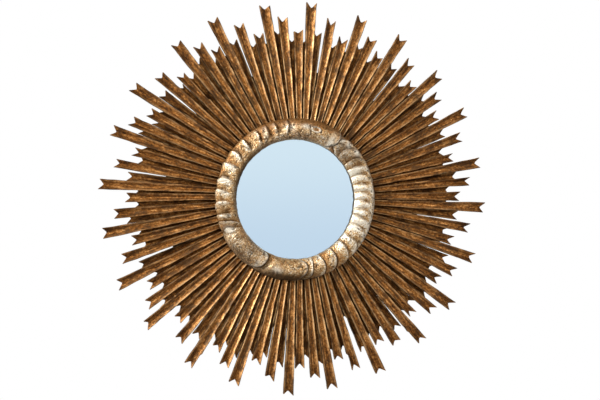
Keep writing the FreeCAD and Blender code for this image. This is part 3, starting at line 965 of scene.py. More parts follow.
@dataclass(frozen=True)
class RayCarver:
    """Carves a blank: a scooped flute between thin rims, a swallow-tail tip, and the wear of years.

    A pair is the range of a seeded draw. Eases go by the place across the ray, 0 in the middle
    to 1 at the edge.
    """

    rows: int = 48
    row_crowding: float = 0.9  # power that sets more rows near the tip
    columns: tuple[float, ...] = (-1.0, -1.0, -0.96, -0.90, -0.82, -0.70, -0.50, -0.25)
    back_inset: float = 0.985
    flank: float = 0.0009
    rim: float = 0.0015
    flute: float = 0.0074
    scoop: float = 1.75  # power of the flute's section
    deepening: Sway = Sway(0.16, 0.12)
    straying: Sway = Sway(0.10, 0.20)
    tool_marks: Sway = Sway(0.00025, 0.03, 6)
    edge_sway: Sway = Sway(0.0005, 0.16)
    thinned: float = 0.0026
    thinned_from: float = 0.06
    notch: float = 0.0140
    notch_depths: Span = (0.85, 1.1)
    notch_middles: Span = (-0.12, 0.12)
    notch_round: float = 0.002
    uneven: float = 0.0045  # how far the other may stand back
    lead: float = 0.0030  # how far one prong may stand out
    chip: float = 0.0016
    chip_counts: tuple[int, int] = (1, 5)
    chip_places: Span = (0.25, 1.0)
    chip_lengths: Span = (0.002, 0.007)
    chip_depths: Span = (0.3, 1.0)
    chip_edge: Ease = Ease(0.72, 0.95)
    chip_bite: float = 0.35  # width that a nick takes, to its depth
    softened: float = 0.0007
    soft_edge: Ease = Ease(0.93, 1.0)
    worn_tip: Ease = Ease(0.90, 1.0, 0.0, 1.6)
    split_odds: float = 0.24
    split_places: Span = (0.58, 0.93)
    split_widths: Span = (0.0018, 0.0042)
    split_run: float = 0.004
    lost_odds: float = 0.12
    lost_prong: Span = (0.005, 0.011)
    whole_from: float = 0.30  # a ray this long keeps both prongs
    wear: RayWear = RayWear()

    def carve(self, blank: RayBlank, chance: Chance, work: Carving) -> None:
        """Carves one ray into a carving.

        Args:
            blank: the strip that it starts from.
            chance: the seeded source of its irregularities.
            work: where the finished ray goes.
        """
        across = np.array((*self.columns, 0.0, *(-column for column in reversed(self.columns))))
        share = np.linspace(0.0, 1.0, self.rows)[:, None] ** self.row_crowding
        along = share * self.ends(blank, across, chance)[None, :]
        half = blank.half(along)
        chips = self.chips(blank, along, across, chance)
        left, right = (self.edge_sway.drawn(chance, along) for _ in range(2))
        sway = np.where(across < 0, left, right) * np.abs(across)
        split = self.split(blank, along, across, chance)
        aside = across * (half - self.edge_sway.size + sway - self.chip_bite * chips - split)
        hollow = self.hollow(blank, along, across, half, chance)
        crest = self.softened * self.soft_edge.of(np.abs(across)) + chips
        front = blank.front + hollow + crest + self.thinning(blank, along)
        front[:, [0, -1]] += self.flank
        inset = np.full(len(across), self.back_inset)
        inset[[0, -1]] = 1.0
        back = blank.place(along, aside * inset, np.full_like(front, blank.back))
        points = np.concatenate((blank.place(along, aside, front), back[:, ::-1]), axis=1)
        nicked = np.clip(chips / self.chip, 0.0, 1.0)
        marks = self.wear.marks(blank, along, aside, across, nicked, chance)
        work.add(points.reshape(-1, 3), self.faces(len(across)), marks)

    def faces(self, width: int) -> list[tuple[int, ...]]:
        """Lays the faces of a ray, closed at both ends.

        Args:
            width: number of columns on its front.

        Returns:
            The corner numbers of each face.
        """
        loop = 2 * width
        faces = tube_faces(self.rows, loop)
        for start, flip in ((0, True), ((self.rows - 1) * loop, False)):
            for step in range(width - 1):
                cap = (start + step, start + step + 1, start + loop - 2 - step, start + loop - 1 - step)
                faces.append(cap[::-1] if flip else cap)
        return faces

    def thinning(self, blank: RayBlank, along: Array) -> Array:
        """How far the ray's face has been planed down towards its tip."""
        return self.thinned * smooth_step(along, self.thinned_from, blank.length)

    def ends(self, blank: RayBlank, across: Array, chance: Chance) -> Array:
        """Cuts the swallow-tail.

        Args:
            blank: the ray.
            across: place of each column, -1 to 1.
            chance: the seeded source.

        Returns:
            Where each column stops, in metres from the root.
        """
        cuts = [chance.uniform(-self.lead, 0.0), chance.uniform(0.0, self.uneven)]
        if chance.random() < self.lost_odds and blank.length < self.whole_from:
            cuts[chance.integers(2)] += chance.uniform(*self.lost_prong)
        middle = chance.uniform(*self.notch_middles)
        depth = self.notch * chance.uniform(*self.notch_depths)
        side = np.where(across < middle, (middle - across) / (1 + middle), (across - middle) / (1 - middle))
        sunk = depth * (1.0 - np.sqrt(side ** 2 + self.notch_round)).clip(0.0)
        worn = self.softened * self.worn_tip.of(np.abs(across))
        return blank.length - np.where(across < middle, *cuts) * side - sunk - worn

    def split(self, blank: RayBlank, along: Array, across: Array, chance: Chance) -> Array:
        """Splits one edge of some rays away, from some way along to the tip.

        Args:
            blank: the ray.
            along: distance of each point from the root.
            across: place of each column, -1 to 1.
            chance: the seeded source.

        Returns:
            The width lost at each point.
        """
        if chance.random() >= self.split_odds:
            return np.zeros_like(along)
        side = chance.choice((-1.0, 1.0))
        start = blank.length * chance.uniform(*self.split_places)
        width = chance.uniform(*self.split_widths) * (side * across > 0.0)
        return width * smooth_step(along, start, start + self.split_run)

    def hollow(
        self, blank: RayBlank, along: Array, across: Array, half: Array, chance: Chance
    ) -> Array:
        """Scoops the flute.

        Args:
            blank: the ray.
            along: distance of each point from the root.
            across: place of each column, -1 to 1.
            half: half the ray's width at each point.
            chance: the seeded source.

        Returns:
            Depth of the flute under the ray's face at each point.
        """
        depth = self.flute * half / blank.tip_half * (1.0 + self.deepening.drawn(chance, along))
        shifted = across - self.straying.drawn(chance, along) * (1.0 - across ** 2)
        inside = np.clip(np.abs(shifted) / (1.0 - self.rim / half), 0.0, 1.0)
        return depth * (1.0 - inside ** self.scoop) + self.tool_marks.drawn(chance, along) * (1.0 - inside)

    def chips(self, blank: RayBlank, along: Array, across: Array, chance: Chance) -> Array:
        """Nicks both rims.

        Args:
            blank: the ray.
            along: distance of each point from the root.
            across: place of each column, -1 to 1.
            chance: the seeded source.

        Returns:
            Depth of the nicks at each point.
        """
        nicks = np.zeros_like(along)
        for side in (-1.0, 1.0):
            near = self.chip_edge.of(side * across)
            for _ in range(chance.integers(*self.chip_counts)):
                middle = blank.length * chance.uniform(*self.chip_places)
                spread = chance.uniform(*self.chip_lengths)
                depth = self.chip * chance.uniform(*self.chip_depths)
                nicks += near * depth * bell(along, middle, spread)
        return nicks


@dataclass
class BradSet:
    """Small nails that hold the rays down, sunk in their flutes.

    The profile gives the size of each loop of a nail, and how far it stands out, in shares of
    the radius and the height.
    """

    radius: float = 0.0020
    height: float = 0.0013
    foot: float = 0.0008
    profile: tuple[Span, ...] = ((0.95, 0.5), (0.55, 0.9))
    sides: int = 12
    places: Span = (0.42, 0.76)
    shifts: Span = (-0.07, 0.07)
    off_axis: float = 0.1
    work: Carving = field(default_factory=Carving)

    def drive(self, blank: RayBlank, carver: RayCarver, chance: Chance) -> None:
        """Drives the nails of one ray.

        Args:
            blank: the ray.
            carver: how the ray was carved.
            chance: the seeded source of their places.
        """
        turns = np.linspace(0.0, 2.0 * math.pi, self.sides, endpoint=False)
        loops = ((1.0, -self.foot), *((size, rise * self.height) for size, rise in self.profile))
        for share in self.places:
            along = blank.length * (share + chance.uniform(*self.shifts))
            half = blank.half(along)
            level = blank.front + carver.flute * half / blank.tip_half
            level += float(carver.thinning(blank, np.array(along)))
            rings = [
                blank.place(
                    along + self.radius * size * np.cos(turns),
                    self.off_axis * half + self.radius * size * np.sin(turns),
                    np.full(self.sides, level - rise),
                )
                for size, rise in loops
            ]
            faces = [face[::-1] for face in tube_faces(len(rings), self.sides)]
            last = (len(rings) - 1) * self.sides
            faces.append(tuple(range(last, last + self.sides))[::-1])
            faces.append(tuple(range(self.sides)))
            self.work.add(np.concatenate(rings), faces, {})

    def piece(self) -> bpy.types.Object:
        """The finished nails."""
        return self.work.piece("ray_brads", BRAD_STEEL, Body.MIRROR)


@dataclass
class RayFan:
    """Both layers of rays, one piece to a CAD node."""

    seed: int = 71
    front_carver: RayCarver = RayCarver()
    # the back rays are darkened with painted shade and dust
    back_carver: RayCarver = RayCarver(rows=26, flute=0.0040, thinned=0.0, lead=0.0, wear=RayWear(soil_and_shade=0.6))
    brads: BradSet = field(default_factory=BradSet)

    def nodes(self) -> list[str]:
        """The CAD nodes that are rays."""
        return sorted(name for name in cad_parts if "_ray_" in name or "_rays_" in name)

    def build(self) -> list[bpy.types.Object]:
        """Carves every ray and drives its nails.

        Returns:
            The pieces, the nails last.
        """
        chance = np.random.default_rng(self.seed)
        pieces = []
        for node in self.nodes():
            behind = node.startswith("back_rays")
            carver = self.back_carver if behind else self.front_carver
            work = Carving()
            for solid in solids_of(node):
                blank = RayBlank.measured(solid)
                carver.carve(blank, chance, work)
                if not behind:
                    self.brads.drive(blank, carver, chance)
            piece = work.piece("carved_" + node, GILT, Body.MIRROR)
            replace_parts(piece, node)
            pieces.append(piece)
        pieces.append(self.brads.piece())
        return pieces


def turned(turn: Array, angle: float) -> Array:
    """Degrees round the ring from an angle, -180 to 180."""
    return np.mod(turn - angle + 180.0, 360.0) - 180.0


@dataclass(frozen=True)
class LeafLay:
    """Where each point of the wreath's face lies on its leaf.

    The level is the place across the moulding, -1 at the glass to 1 at the rays.
    """

    turn: Array
    level: Array
    share: Array
    length: Array
    number: Array
    radius: float
    long_from: float = 20.0
    crest_floor: float = 0.012
    crest_power: float = 0.4

    @property
    def from_root(self) -> Array:
        """Metres from the leaf's root."""
        return self.share * np.radians(self.length) * self.radius

    @property
    def to_tip(self) -> Array:
        """Metres to the leaf's tip."""
        return (1.0 - self.share) * np.radians(self.length) * self.radius

    @property
    def long(self) -> Array:
        """Whether the leaf is one of the long ones."""
        return self.length > self.long_from

    @property
    def crest(self) -> Array:
        """1 half-way along a leaf, 0 at both ends."""
        return (np.sin(np.pi * self.share) ** 2 + self.crest_floor) ** self.crest_power


OUTWARD = Ease(0.05, 0.75)  # by level, 1 on the flank towards the rays
INWARD = Ease(-0.05, -0.75)  # by level, 1 on the flank towards the glass
ALL_ROUND = math.inf  # spread of what is the same at every angle


@dataclass(frozen=True)
class Stretch:
    """Something that is strongest at an angle and fades to both sides, on a part of the width."""

    angle: float
    spread: float
    strength: float
    across: tuple[Ease, ...] = ()

    def at(self, turn: Array) -> Array:
        """How strong it is at each angle."""
        return self.strength * bell(turned(turn, self.angle), 0.0, self.spread)

    def over(self, lay: LeafLay) -> Array:
        """How strong it is at each point."""
        return math.prod((ease.of(lay.level) for ease in self.across), start=self.at(lay.turn))


@dataclass(frozen=True)
class TipShine:
    """A rubbed line across leaf tips, which also stands for a painted highlight: how far back it lies, its
    width and where it is found.
    """

    back: float
    width: float
    where: Stretch

    def over(self, lay: LeafLay) -> Array:
        """How bright it leaves each point."""
        return bell(lay.to_tip, self.back, self.width) * self.where.over(lay)


@dataclass(frozen=True)
class Spot:
    """A spot on the wreath: the angle and level of its middle, its half sizes and its strength."""

    angle: float
    level: float
    half_angle: float
    half_level: float
    strength: float

    def off(self, lay: LeafLay) -> tuple[Array, Array]:
        """Distance from the middle round the ring and across it, 1 on the spot's edge."""
        return turned(lay.turn, self.angle) / self.half_angle, (lay.level - self.level) / self.half_level

    def over(self, lay: LeafLay) -> Array:
        """How strong the spot is at each point."""
        return self.strength * bell(np.hypot(*self.off(lay)), 0.0, 1.0)


@dataclass(frozen=True)
class Knot:
    """An oval knot cut into the long upper leaf: a lid between a groove and a slit.

    The pairs are a distance from the middle, 1 on the knot's edge, and a half width.
    """

    oval: Spot = Spot(15.5, 0.10, 4.2, 0.17, 1.0)
    groove_depth: float = 0.060
    groove: Span = (1.25, 0.20)
    lid_height: float = 0.030
    lid: Span = (0.85, 0.25)
    lid_shine: float = 0.8
    lid_rubbed: Span = (0.85, 0.22)
    slit_depth: float = 0.040
    slit_half: float = 0.30
    slit_end: Ease = Ease(0.8, 0.5)
    golden_half: float = 0.6
    golden: float = 0.5

    def off(self, lay: LeafLay) -> Array:
        """Distance from the middle, 1 on the knot's edge."""
        return np.hypot(*self.oval.off(lay))

    def relief(self, lay: LeafLay) -> Array:
        """Carves the knot.

        Args:
            lay: the points of the wreath.

        Returns:
            What the knot adds to the fullness of the moulding.
        """
        off, aside = self.off(lay), self.oval.off(lay)[1]
        slit = self.slit_depth * bell(aside, 0.0, self.slit_half) * self.slit_end.of(off)
        return self.lid_height * bell(off, *self.lid) - self.groove_depth * bell(off, *self.groove) - slit

    def shine(self, lay: LeafLay) -> Array:
        """How bright the lid is rubbed."""
        return self.lid_shine * bell(self.off(lay), *self.lid_rubbed)

    def glaze(self, lay: LeafLay) -> Array:
        """How much more golden the knot's middle is."""
        return self.golden * (self.off(lay) < self.golden_half)


@dataclass(frozen=True)
class CutZone:
    """A part of the wreath with short gouge cuts: how many, where, and their usual half length.

    A pair is the range of a seeded draw. The lean's pair is its mean and deviation in radians.
    """

    count: int
    angles: Span
    levels: Span
    length: float
    lengths: Span = (0.55, 1.4)
    widths: Span = (0.0014, 0.0024)
    lean: Span = (0.3, 0.5)

    def cuts(self, lay: LeafLay, girth: float, chance: Chance) -> Iterable[Array]:
        """Makes the cuts of the zone.

        Args:
            lay: the points of the wreath.
            girth: length over the moulding from the glass to the rays.
            chance: the seeded source.

        Returns:
            Each cut in turn, 1 in its middle.
        """
        for _ in range(self.count):
            around = np.radians(turned(lay.turn, chance.uniform(*self.angles))) * lay.radius
            over = (lay.level - chance.uniform(*self.levels)) * girth / 2
            lean = chance.normal(*self.lean)
            along = over * math.cos(lean) + around * math.sin(lean)
            aside = around * math.cos(lean) - over * math.sin(lean)
            length, width = self.length * chance.uniform(*self.lengths), chance.uniform(*self.widths)
            yield bell(along, 0.0, length) * bell(aside, 0.0, width)


class Draw(int, Enum):
    """Seeded draws of the wreath, as steps from its seed."""

    TONE = 0
    EDGE = 0
    HEIGHT = 1
    DIRT = 2
    SHINE = 3
    CUTS = 4


@dataclass
class LeafWreath:
    """The carved ring: two garlands of leaves that part at the lower left and meet at the upper right.

    Each garland lists the angles where its leaves end, in the order in which they overlap.
    """

    clockwise: tuple[float, ...] = (244, 251, 259, 266, 275, 285, 296, 306, 317, 327, 335, 343, 352, 393)
    counter: tuple[float, ...] = (
        244, 212, 176, 168, 158, 147, 136, 125, 115, 106.5, 100, 93.5, 86, 78.5, 71, 64, 57, 48, 41, 31,
    )
    counter_start: int = 40  # number of the second garland's first leaf
    seed: int = 5
    around: int = 1080
    across: int = 80
    crease: float = 60.0

    # Edges of the leaves
    slant: float = 3.0  # degrees that an edge leans over half the width
    bulge: float = 3.8  # degrees that a tip stands out
    bulge_middle: float = 0.5
    full_tips: tuple[float, ...] = (33.0, 212.0, 176.0)
    full_tip: Ease = Ease(16.0, 4.0, 0.0, 1.6)
    edge_wander: float = 1.5
    edge_steady: Stretch = Stretch(85.0, 40.0, 0.7)
    waves: int = 6
    wave_counts: tuple[int, int] = (9, 34)
    wave_leans: Span = (-3.5, 3.5)
    wave_phases: Span = (0.0, 6.3)
    wave_sum: float = 2.5  # brings the sum of the waves to about 1

    # Relief of the leaves
    plain: float = 0.80  # fullness where no leaf is cut
    low: float = 0.54  # fullness in a crease
    fullness: float = 0.72  # power of the moulding's section
    top: float = 0.985  # share of the ring's height that a crest reaches
    give_outside: float = 0.34  # how far a crease draws the outer edge in
    give_inside: float = 0.05
    lip: Ease = Ease(0.0, -0.5, 0.0, 0.003)
    tip_round: float = 0.0042
    ramp_power: float = 1.15
    flattened: Stretch = Stretch(148.0, 32.0, 0.55)
    plump_least: float = 0.10
    plumped: Stretch = Stretch(96.0, 29.0, 0.80)
    cushion_foot: float = 0.30
    long_rise: Ease = Ease(0.0, 0.030)
    long_power: float = 0.7
    leaf_heights: Span = (0.86, 1.0)
    tucked_root: float = 0.62
    tucked_fall: float = 0.5
    cut_soft: float = 0.28
    cut_levels: tuple[Triple, ...] = (  # angle, and the levels between which leaves are cut
        (0, -0.3, 0.6), (30, -1.4, 1.4), (45, -1.4, 0.9), (75, -1.4, 0.30), (105, -1.4, 0.30),
        (130, -1.4, 0.9), (170, -1.4, 1.4), (215, -1.4, 1.4), (245, -0.6, 1.4), (270, -0.15, 1.4),
        (330, -0.20, 0.85),
    )
    knot: Knot = Knot()
    gouges: tuple[CutZone, ...] = (
        CutZone(130, (115.0, 400.0), (-0.8, 0.6), 0.0056), CutZone(60, (42.0, 130.0), (0.35, 0.9), 0.0036),
    )
    gouge_depth: float = 0.070
    girth: float = 0.085
    wander: float = 0.0012
    wander_waves: tuple[Span, ...] = ((85.0, 0.75), (200.0, 0.62))  # scale and share

    # Collar behind the moulding
    collar_wall: float = 0.014
    collar_gap: float = 0.0025
    flat_from: float = 0.02
    lip_back: float = 0.004

    # Glaze, with painted light on some flanks
    gold_usual: float = 0.44
    leaf_tones: Span = (-0.14, 0.14)
    gold_fall: float = 0.70
    light_middle: float = 0.5
    long_light: float = 0.4
    ripening: Ease = Ease(0.10, 0.95)
    most_gold: float = 1.2
    # Painted light: the stretches at 78 and 128 pale the right outer flank, which faces away from the
    # lamps, the one at 165 pales the lower inner flank, which faces them, and the two at 92 paint the right
    # inner flank silver as a painted highlight.
    golden: tuple[Stretch, ...] = (
        Stretch(0.0, ALL_ROUND, 0.12, (OUTWARD,)), Stretch(0.0, ALL_ROUND, 0.18, (INWARD,)),
        Stretch(350.0, 42.0, 0.70, (OUTWARD,)), Stretch(15.0, 18.0, 0.60, (OUTWARD,)),
        Stretch(190.0, 45.0, 0.20, (OUTWARD,)), Stretch(78.0, 46.0, -0.44, (OUTWARD,)),
        Stretch(352.0, 44.0, 0.30, (Ease(-0.35, 0.10),)), Stretch(48.0, 16.0, 0.22),
        Stretch(48.0, 16.0, 0.40, (Ease(0.60, 0.90),)), Stretch(288.0, 46.0, 0.26, (Ease(0.15, -0.30),)),
        Stretch(150.0, 34.0, 0.22), Stretch(165.0, 34.0, -0.16, (INWARD,)),
        Stretch(128.0, 26.0, -0.30, (OUTWARD,)), Stretch(92.0, 42.0, -0.44, (Ease(0.20, -0.20),)),
        Stretch(92.0, 42.0, -0.24, (INWARD,)),
    )

    # Grime and painted shade
    leaf_dirts: Span = (0.45, 1.0)
    crease_width: float = 0.0055
    crease_plump: float = 0.0025
    crease_narrowed: Stretch = Stretch(148.0, 32.0, 0.0024)
    # the creases between leaves are darkened with dirt and painted shade
    crease_dirt_and_shade: float = 0.9
    crease_clean: float = 0.35
    crease_wiped: Stretch = Stretch(148.0, 34.0, 0.5, (INWARD,))
    # painted shade on flanks: the outer flank at the top and lower left, and the inner flank on the left,
    # which faces away from the lamps
    painted_flank_shade: tuple[Stretch, ...] = (
        Stretch(354.0, 36.0, 0.54, (OUTWARD,)), Stretch(218.0, 24.0, 0.60, (OUTWARD,)),
        Stretch(296.0, 44.0, 0.92, (INWARD,)), Stretch(225.0, 30.0, 0.12, (INWARD,)),
    )
    # a painted shadow on the lower outer flank, and a dark line of painted shade and dirt where the inner
    # lip meets the glass on the right
    painted_shadows: tuple[Stretch, ...] = (
        Stretch(188.0, 27.0, 0.92, (Ease(0.0, 0.44),)), Stretch(82.0, 72.0, 0.95, (Ease(-0.79, -0.86),)),
    )
    # painted shade along the outer edge where the wreath meets the rays, widened into a painted shadow at
    # the bottom
    edge_shade: Ease = Ease(0.84, 1.0, 0.0, 0.9)
    edge_shadow_widened: Stretch = Stretch(186.0, 34.0, 0.24)
    edge_wiped: Stretch = Stretch(72.0, 44.0, 0.5)
    gouge_dirt: float = 0.85
    most_dirt_and_shade: float = 0.95
    # dark spots: dirt, and painted shadows under the upper leaf's tip at 37 and beside the lower leaf at
    # 207
    soiled_and_shadowed: tuple[Spot, ...] = (
        Spot(37.0, 0.72, 2.6, 0.34, 0.60), Spot(47.5, -0.42, 8.0, 0.34, 0.45),
        Spot(56.5, 0.15, 1.6, 0.45, 0.60), Spot(61.0, 0.20, 2.2, 0.55, 0.35),
        Spot(207.0, 0.72, 4.5, 0.26, 0.90), Spot(194.0, 0.62, 8.0, 0.20, 0.85),
        Spot(228.0, 0.50, 13.0, 0.34, 0.66), Spot(222.0, -0.10, 5.0, 0.30, 0.50),
        Spot(237.0, -0.05, 4.0, 0.24, 0.45), Spot(23.0, 0.42, 4.0, 0.16, 0.50),
        Spot(5.0, 0.42, 5.0, 0.18, 0.45), Spot(27.0, -0.10, 3.0, 0.30, 0.40),
        Spot(246.0, 0.75, 4.0, 0.28, 0.80),
    )

    # Rubbed silver and painted highlights
    leaf_shines: Span = (0.45, 1.0)
    # bright lines across the leaf tips: rubbed silver and painted highlights where the lamps catch the tips
    # on the left and lower right
    short_tips: tuple[TipShine, ...] = (
        TipShine(0.0060, 0.0055, Stretch(298.0, 46.0, 0.95, (Ease(-0.30, 0.05), Ease(0.80, 0.45)))),
        TipShine(0.0030, 0.0028, Stretch(148.0, 30.0, 0.90, (Ease(0.75, 0.35),))),
    )
    long_tip: TipShine = TipShine(0.0, 0.006, Stretch(0.0, ALL_ROUND, 0.8, (Ease(0.95, 0.60),)))
    # a painted reflection: a silver band on the inner lip at the upper left
    lip_reflection: Stretch = Stretch(310.0, 60.0, 0.8, (Ease(-0.80, -0.90),))
    # bright spots: painted highlights, with some rubbing
    rubbed: tuple[Spot, ...] = (
        Spot(66.5, -0.30, 3.2, 0.34, 1.0), Spot(53.0, 0.50, 3.4, 0.28, 1.0),
        Spot(45.0, 0.42, 2.8, 0.28, 1.0), Spot(38.5, 0.32, 2.0, 0.22, 0.7),
        Spot(31.0, -0.35, 2.6, 0.50, 0.9), Spot(8.0, 0.16, 4.0, 0.14, 0.8),
        Spot(355.0, 0.10, 4.0, 0.20, 0.7), Spot(212.5, 0.30, 1.2, 0.40, 0.6),
        Spot(247.0, 0.30, 2.5, 0.30, 0.8), Spot(196.0, 0.15, 4.0, 0.20, 0.7),
    )

    # Punched ground
    # The stretch at 204 lays dark dust on the lower outer flank, which also stands for painted shade on
    # that downward face.
    punched: tuple[Stretch, ...] = (
        Stretch(2.0, 34.0, 0.95, (Ease(0.05, -0.35),)), Stretch(45.0, 12.0, 0.60, (Ease(0.30, 0.0),)),
        Stretch(226.0, 17.0, 0.70), Stretch(204.0, 34.0, 0.9, (OUTWARD,)),
    )

    def build(self) -> bpy.types.Object:
        """Carves the ring in place of its CAD node.

        Returns:
            The wreath.
        """
        low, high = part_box("carved_ring")
        places = node_points("carved_ring")
        radii = np.hypot(places[:, 0], places[:, 2])
        rays_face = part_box("long_ray_01")[0].y
        inner, outer = float(radii.min()), float(radii.max())
        middle, half = (inner + outer) / 2, (outer - inner) / 2
        turn = np.linspace(0.0, 360.0, self.around, endpoint=False)[:, None]
        rise = np.linspace(0.0, math.pi, self.across)[None, :]
        lay = self.leaves(turn, 2.0 * rise / math.pi - 1.0, middle)
        cuts = self.gouged(lay)
        swell = self.swell(lay) - self.gouge_depth * cuts
        give = np.where(lay.level > 0.0, self.give_outside, self.give_inside)
        radius = middle - half * np.cos(rise) * (1.0 - give * (1.0 - swell))
        height = (rays_face - low.y) * self.top * np.sin(rise) ** self.fullness * swell
        height = np.maximum(height, self.lip.of(lay.level))
        points = self.roughened(self.ring_points(turn, radius, rays_face - height), turn, rise, rays_face)
        collar = self.collar(turn, inner, middle, rays_face, high.y)
        rows = np.concatenate((points, collar), axis=1)
        hidden = np.zeros(collar.shape[:2])
        marks = {
            Mark.RIM: self.shine(lay), Mark.GRIME_AND_SHADE: self.dirt_and_shade(lay, cuts),
            Mark.GOLD: self.glaze(lay), Mark.STIPPLE: self.stipple(lay),
        }
        work = Carving()
        work.add(rows.reshape(-1, 3), hoop_faces(*rows.shape[:2]), {
            mark: np.concatenate((values, hidden + (mark is Mark.GRIME_AND_SHADE)), axis=1).ravel()
            for mark, values in marks.items()
        })
        piece = work.piece("leaf_wreath", LEAF_SILVER, Body.MIRROR, self.crease)
        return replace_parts(piece, "carved_ring")

    def chance(self, draw: Draw) -> Chance:
        """The seeded source of a draw."""
        return np.random.default_rng(self.seed + draw)

    def by_leaf(self, draw: Draw, span: Span, lay: LeafLay) -> Array:
        """A seeded value for each leaf, at each of its points."""
        return self.chance(draw).uniform(*span, 2 * self.counter_start)[lay.number]

    def leaves(self, turn: Array, level: Array, radius: float) -> LeafLay:
        """Finds which leaf each point lies on.

        Args:
            turn: angle round the ring in degrees.
            level: place across the moulding, -1 at the glass to 1 at the rays.
            radius: radius of the moulding's crest.

        Returns:
            The lay of the leaves over the points.
        """
        start = self.clockwise[0]
        loose = self.edge_wander * self.loose(turn, level) * (1.0 - self.edge_steady.at(turn))
        tilt = turn - self.slant * level - loose
        round_tip = self.bulge * (self.bulge_middle - level ** 2) * self.tip_reach(turn)
        ahead = np.mod(tilt - round_tip - start, 360.0)
        behind = np.mod(start - tilt - round_tip, 360.0)
        forward = ahead <= self.clockwise[-1] - start
        share, length, number = np.zeros_like(ahead), np.zeros_like(ahead), np.zeros(ahead.shape, int)
        for garland, way, travelled, chosen, first in (
            (self.clockwise, 1.0, ahead, forward, 0),
            (self.counter, -1.0, behind, ~forward, self.counter_start),
        ):
            edges = np.array([(edge - start) * way for edge in garland])
            place = np.clip(np.searchsorted(edges, travelled, side="right") - 1, 0, len(edges) - 2)
            span = np.diff(edges)[place]
            part = np.clip((travelled - edges[place]) / span, 0.0, 1.0)
            share = np.where(chosen, part, share)
            length = np.where(chosen, span, length)
            number = np.where(chosen, place + first, number)
        return LeafLay(turn, level * np.ones_like(turn), share, length, number, radius)

    def loose(self, turn: Array, level: Array) -> Array:
        """Draws a wander of the leaf edges.

        Args:
            turn: angle round the ring in degrees.
            level: place across the moulding.

        Returns:
            The wander at each point, about -1 to 1.
        """
        chance = self.chance(Draw.EDGE)
        total = np.zeros_like(turn * level)
        for _ in range(self.waves):
            count, lean = chance.integers(*self.wave_counts), chance.uniform(*self.wave_leans)
            phase = chance.uniform(*self.wave_phases)
            total = total + np.sin(np.radians(turn) * count + level * lean + phase)
        return total / self.wave_sum

    def tip_reach(self, turn: Array) -> Array:
        """How much rounder a tip is at each angle: the long leaves end in a full curve."""
        return 1.0 + sum(self.full_tip.of(np.abs(turned(turn, angle))) for angle in self.full_tips)

    def swell(self, lay: LeafLay) -> Array:
        """Carves the leaves and the knot.

        Args:
            lay: the points of the wreath.

        Returns:
            How full the moulding is at each point, 1 on the crest of a leaf.
        """
        drop = np.sin(np.clip(lay.to_tip / self.tip_round, 0.0, 1.0) * math.pi / 2)
        flat, plump = self.flattened.over(lay), self.plump(lay)
        ramp = flat + (1.0 - flat) * lay.share ** self.ramp_power
        cushion = self.cushion_foot + (1.0 - self.cushion_foot) * lay.crest
        short = (1.0 - plump) * ramp * drop + plump * cushion
        full = self.long_rise.of(lay.from_root) ** self.long_power * drop
        body = np.where(lay.long, full, short * self.by_leaf(Draw.HEIGHT, self.leaf_heights, lay))
        last_leaf = self.counter_start + len(self.counter) - 2
        tucked = np.minimum(body, self.tucked_root - self.tucked_fall * lay.share)
        body = np.clip(np.where(lay.number == last_leaf, tucked, body), 0.0, 1.0)
        body = self.plain + (body - self.plain) * self.cut_depth(lay)
        return self.low + (1.0 - self.low) * body + self.knot.relief(lay)

    def plump(self, lay: LeafLay) -> Array:
        """How cushion-like the leaves are, 0 to 1: most on the right."""
        return self.plump_least + self.plumped.over(lay)

    def cut_depth(self, lay: LeafLay) -> Array:
        """Finds how deep the leaves are cut: the outer half on the left, the inner half on the right.

        Args:
            lay: the points of the wreath.

        Returns:
            The depth at each point, 0 to 1.
        """
        angles, *ends = np.array(self.cut_levels).T
        start, end = (np.interp(lay.turn, angles, levels, period=360.0) for levels in ends)
        soft = Ease(-self.cut_soft, self.cut_soft)
        return soft.of(lay.level - start) * soft.of(end - lay.level)

    def gouged(self, lay: LeafLay) -> Array:
        """Makes the short cuts of a gouge.

        Args:
            lay: the points of the wreath.

        Returns:
            1 in the middle of each cut.
        """
        chance = self.chance(Draw.CUTS)
        deepest = np.zeros_like(lay.level)
        for zone in self.gouges:
            for cut in zone.cuts(lay, self.girth, chance):
                deepest = np.maximum(deepest, cut)
        return deepest

    def ring_points(self, turn: Array, radius: Array, depth: Array) -> Array:
        """Points from an angle, a radius and a Y."""
        angle = np.radians(turn) * np.ones_like(radius)
        return np.stack((radius * np.sin(angle), depth, radius * np.cos(angle)), axis=-1)

    def roughened(self, points: Array, turn: Array, rise: Array, floor: float) -> Array:
        """Lets the surface wander inwards by a little, as cut by hand.

        Args:
            points: the smooth points.
            turn: angle round the ring in degrees.
            rise: angle over the moulding in radians.
            floor: Y of the faces of the rays.

        Returns:
            The wandering points.
        """
        flat = [Vector(point) for point in points.reshape(-1, 3).tolist()]
        waves = sum(
            share * np.array([noise.noise(point * scale) for point in flat])
            for scale, share in self.wander_waves
        )
        depth = self.wander * (waves - 1.0).reshape(points.shape[:2])
        ones = np.ones_like(turn)
        outward = self.ring_points(turn, np.cos(rise) * ones, np.sin(rise) * ones)
        moved = points - outward * depth[..., None]
        moved[..., 1] = np.minimum(moved[..., 1], floor)
        return moved

    def collar(self, turn: Array, inner: float, middle: float, face: float, foot: float) -> Array:
        """Turns the ring's flat underside and the collar inside the roots of the rays.

        Args:
            turn: angle round the ring in degrees.
            inner: radius of the ring's inner edge.
            middle: radius of the moulding's crest.
            face: Y of the faces of the rays.
            foot: Y of the collar's end.

        Returns:
            The points of the outline at each angle.
        """
        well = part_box("mirror_glass")[1].x + self.collar_gap
        outline = np.array((
            (middle + self.flat_from, face), (well + self.collar_wall, face),
            (well + self.collar_wall, foot), (well, foot), (well, face), (inner + self.lip_back, face),
        ))
        radius, depth = (column[None, :] * np.ones_like(turn) for column in outline.T)
        return self.ring_points(turn, radius, depth)

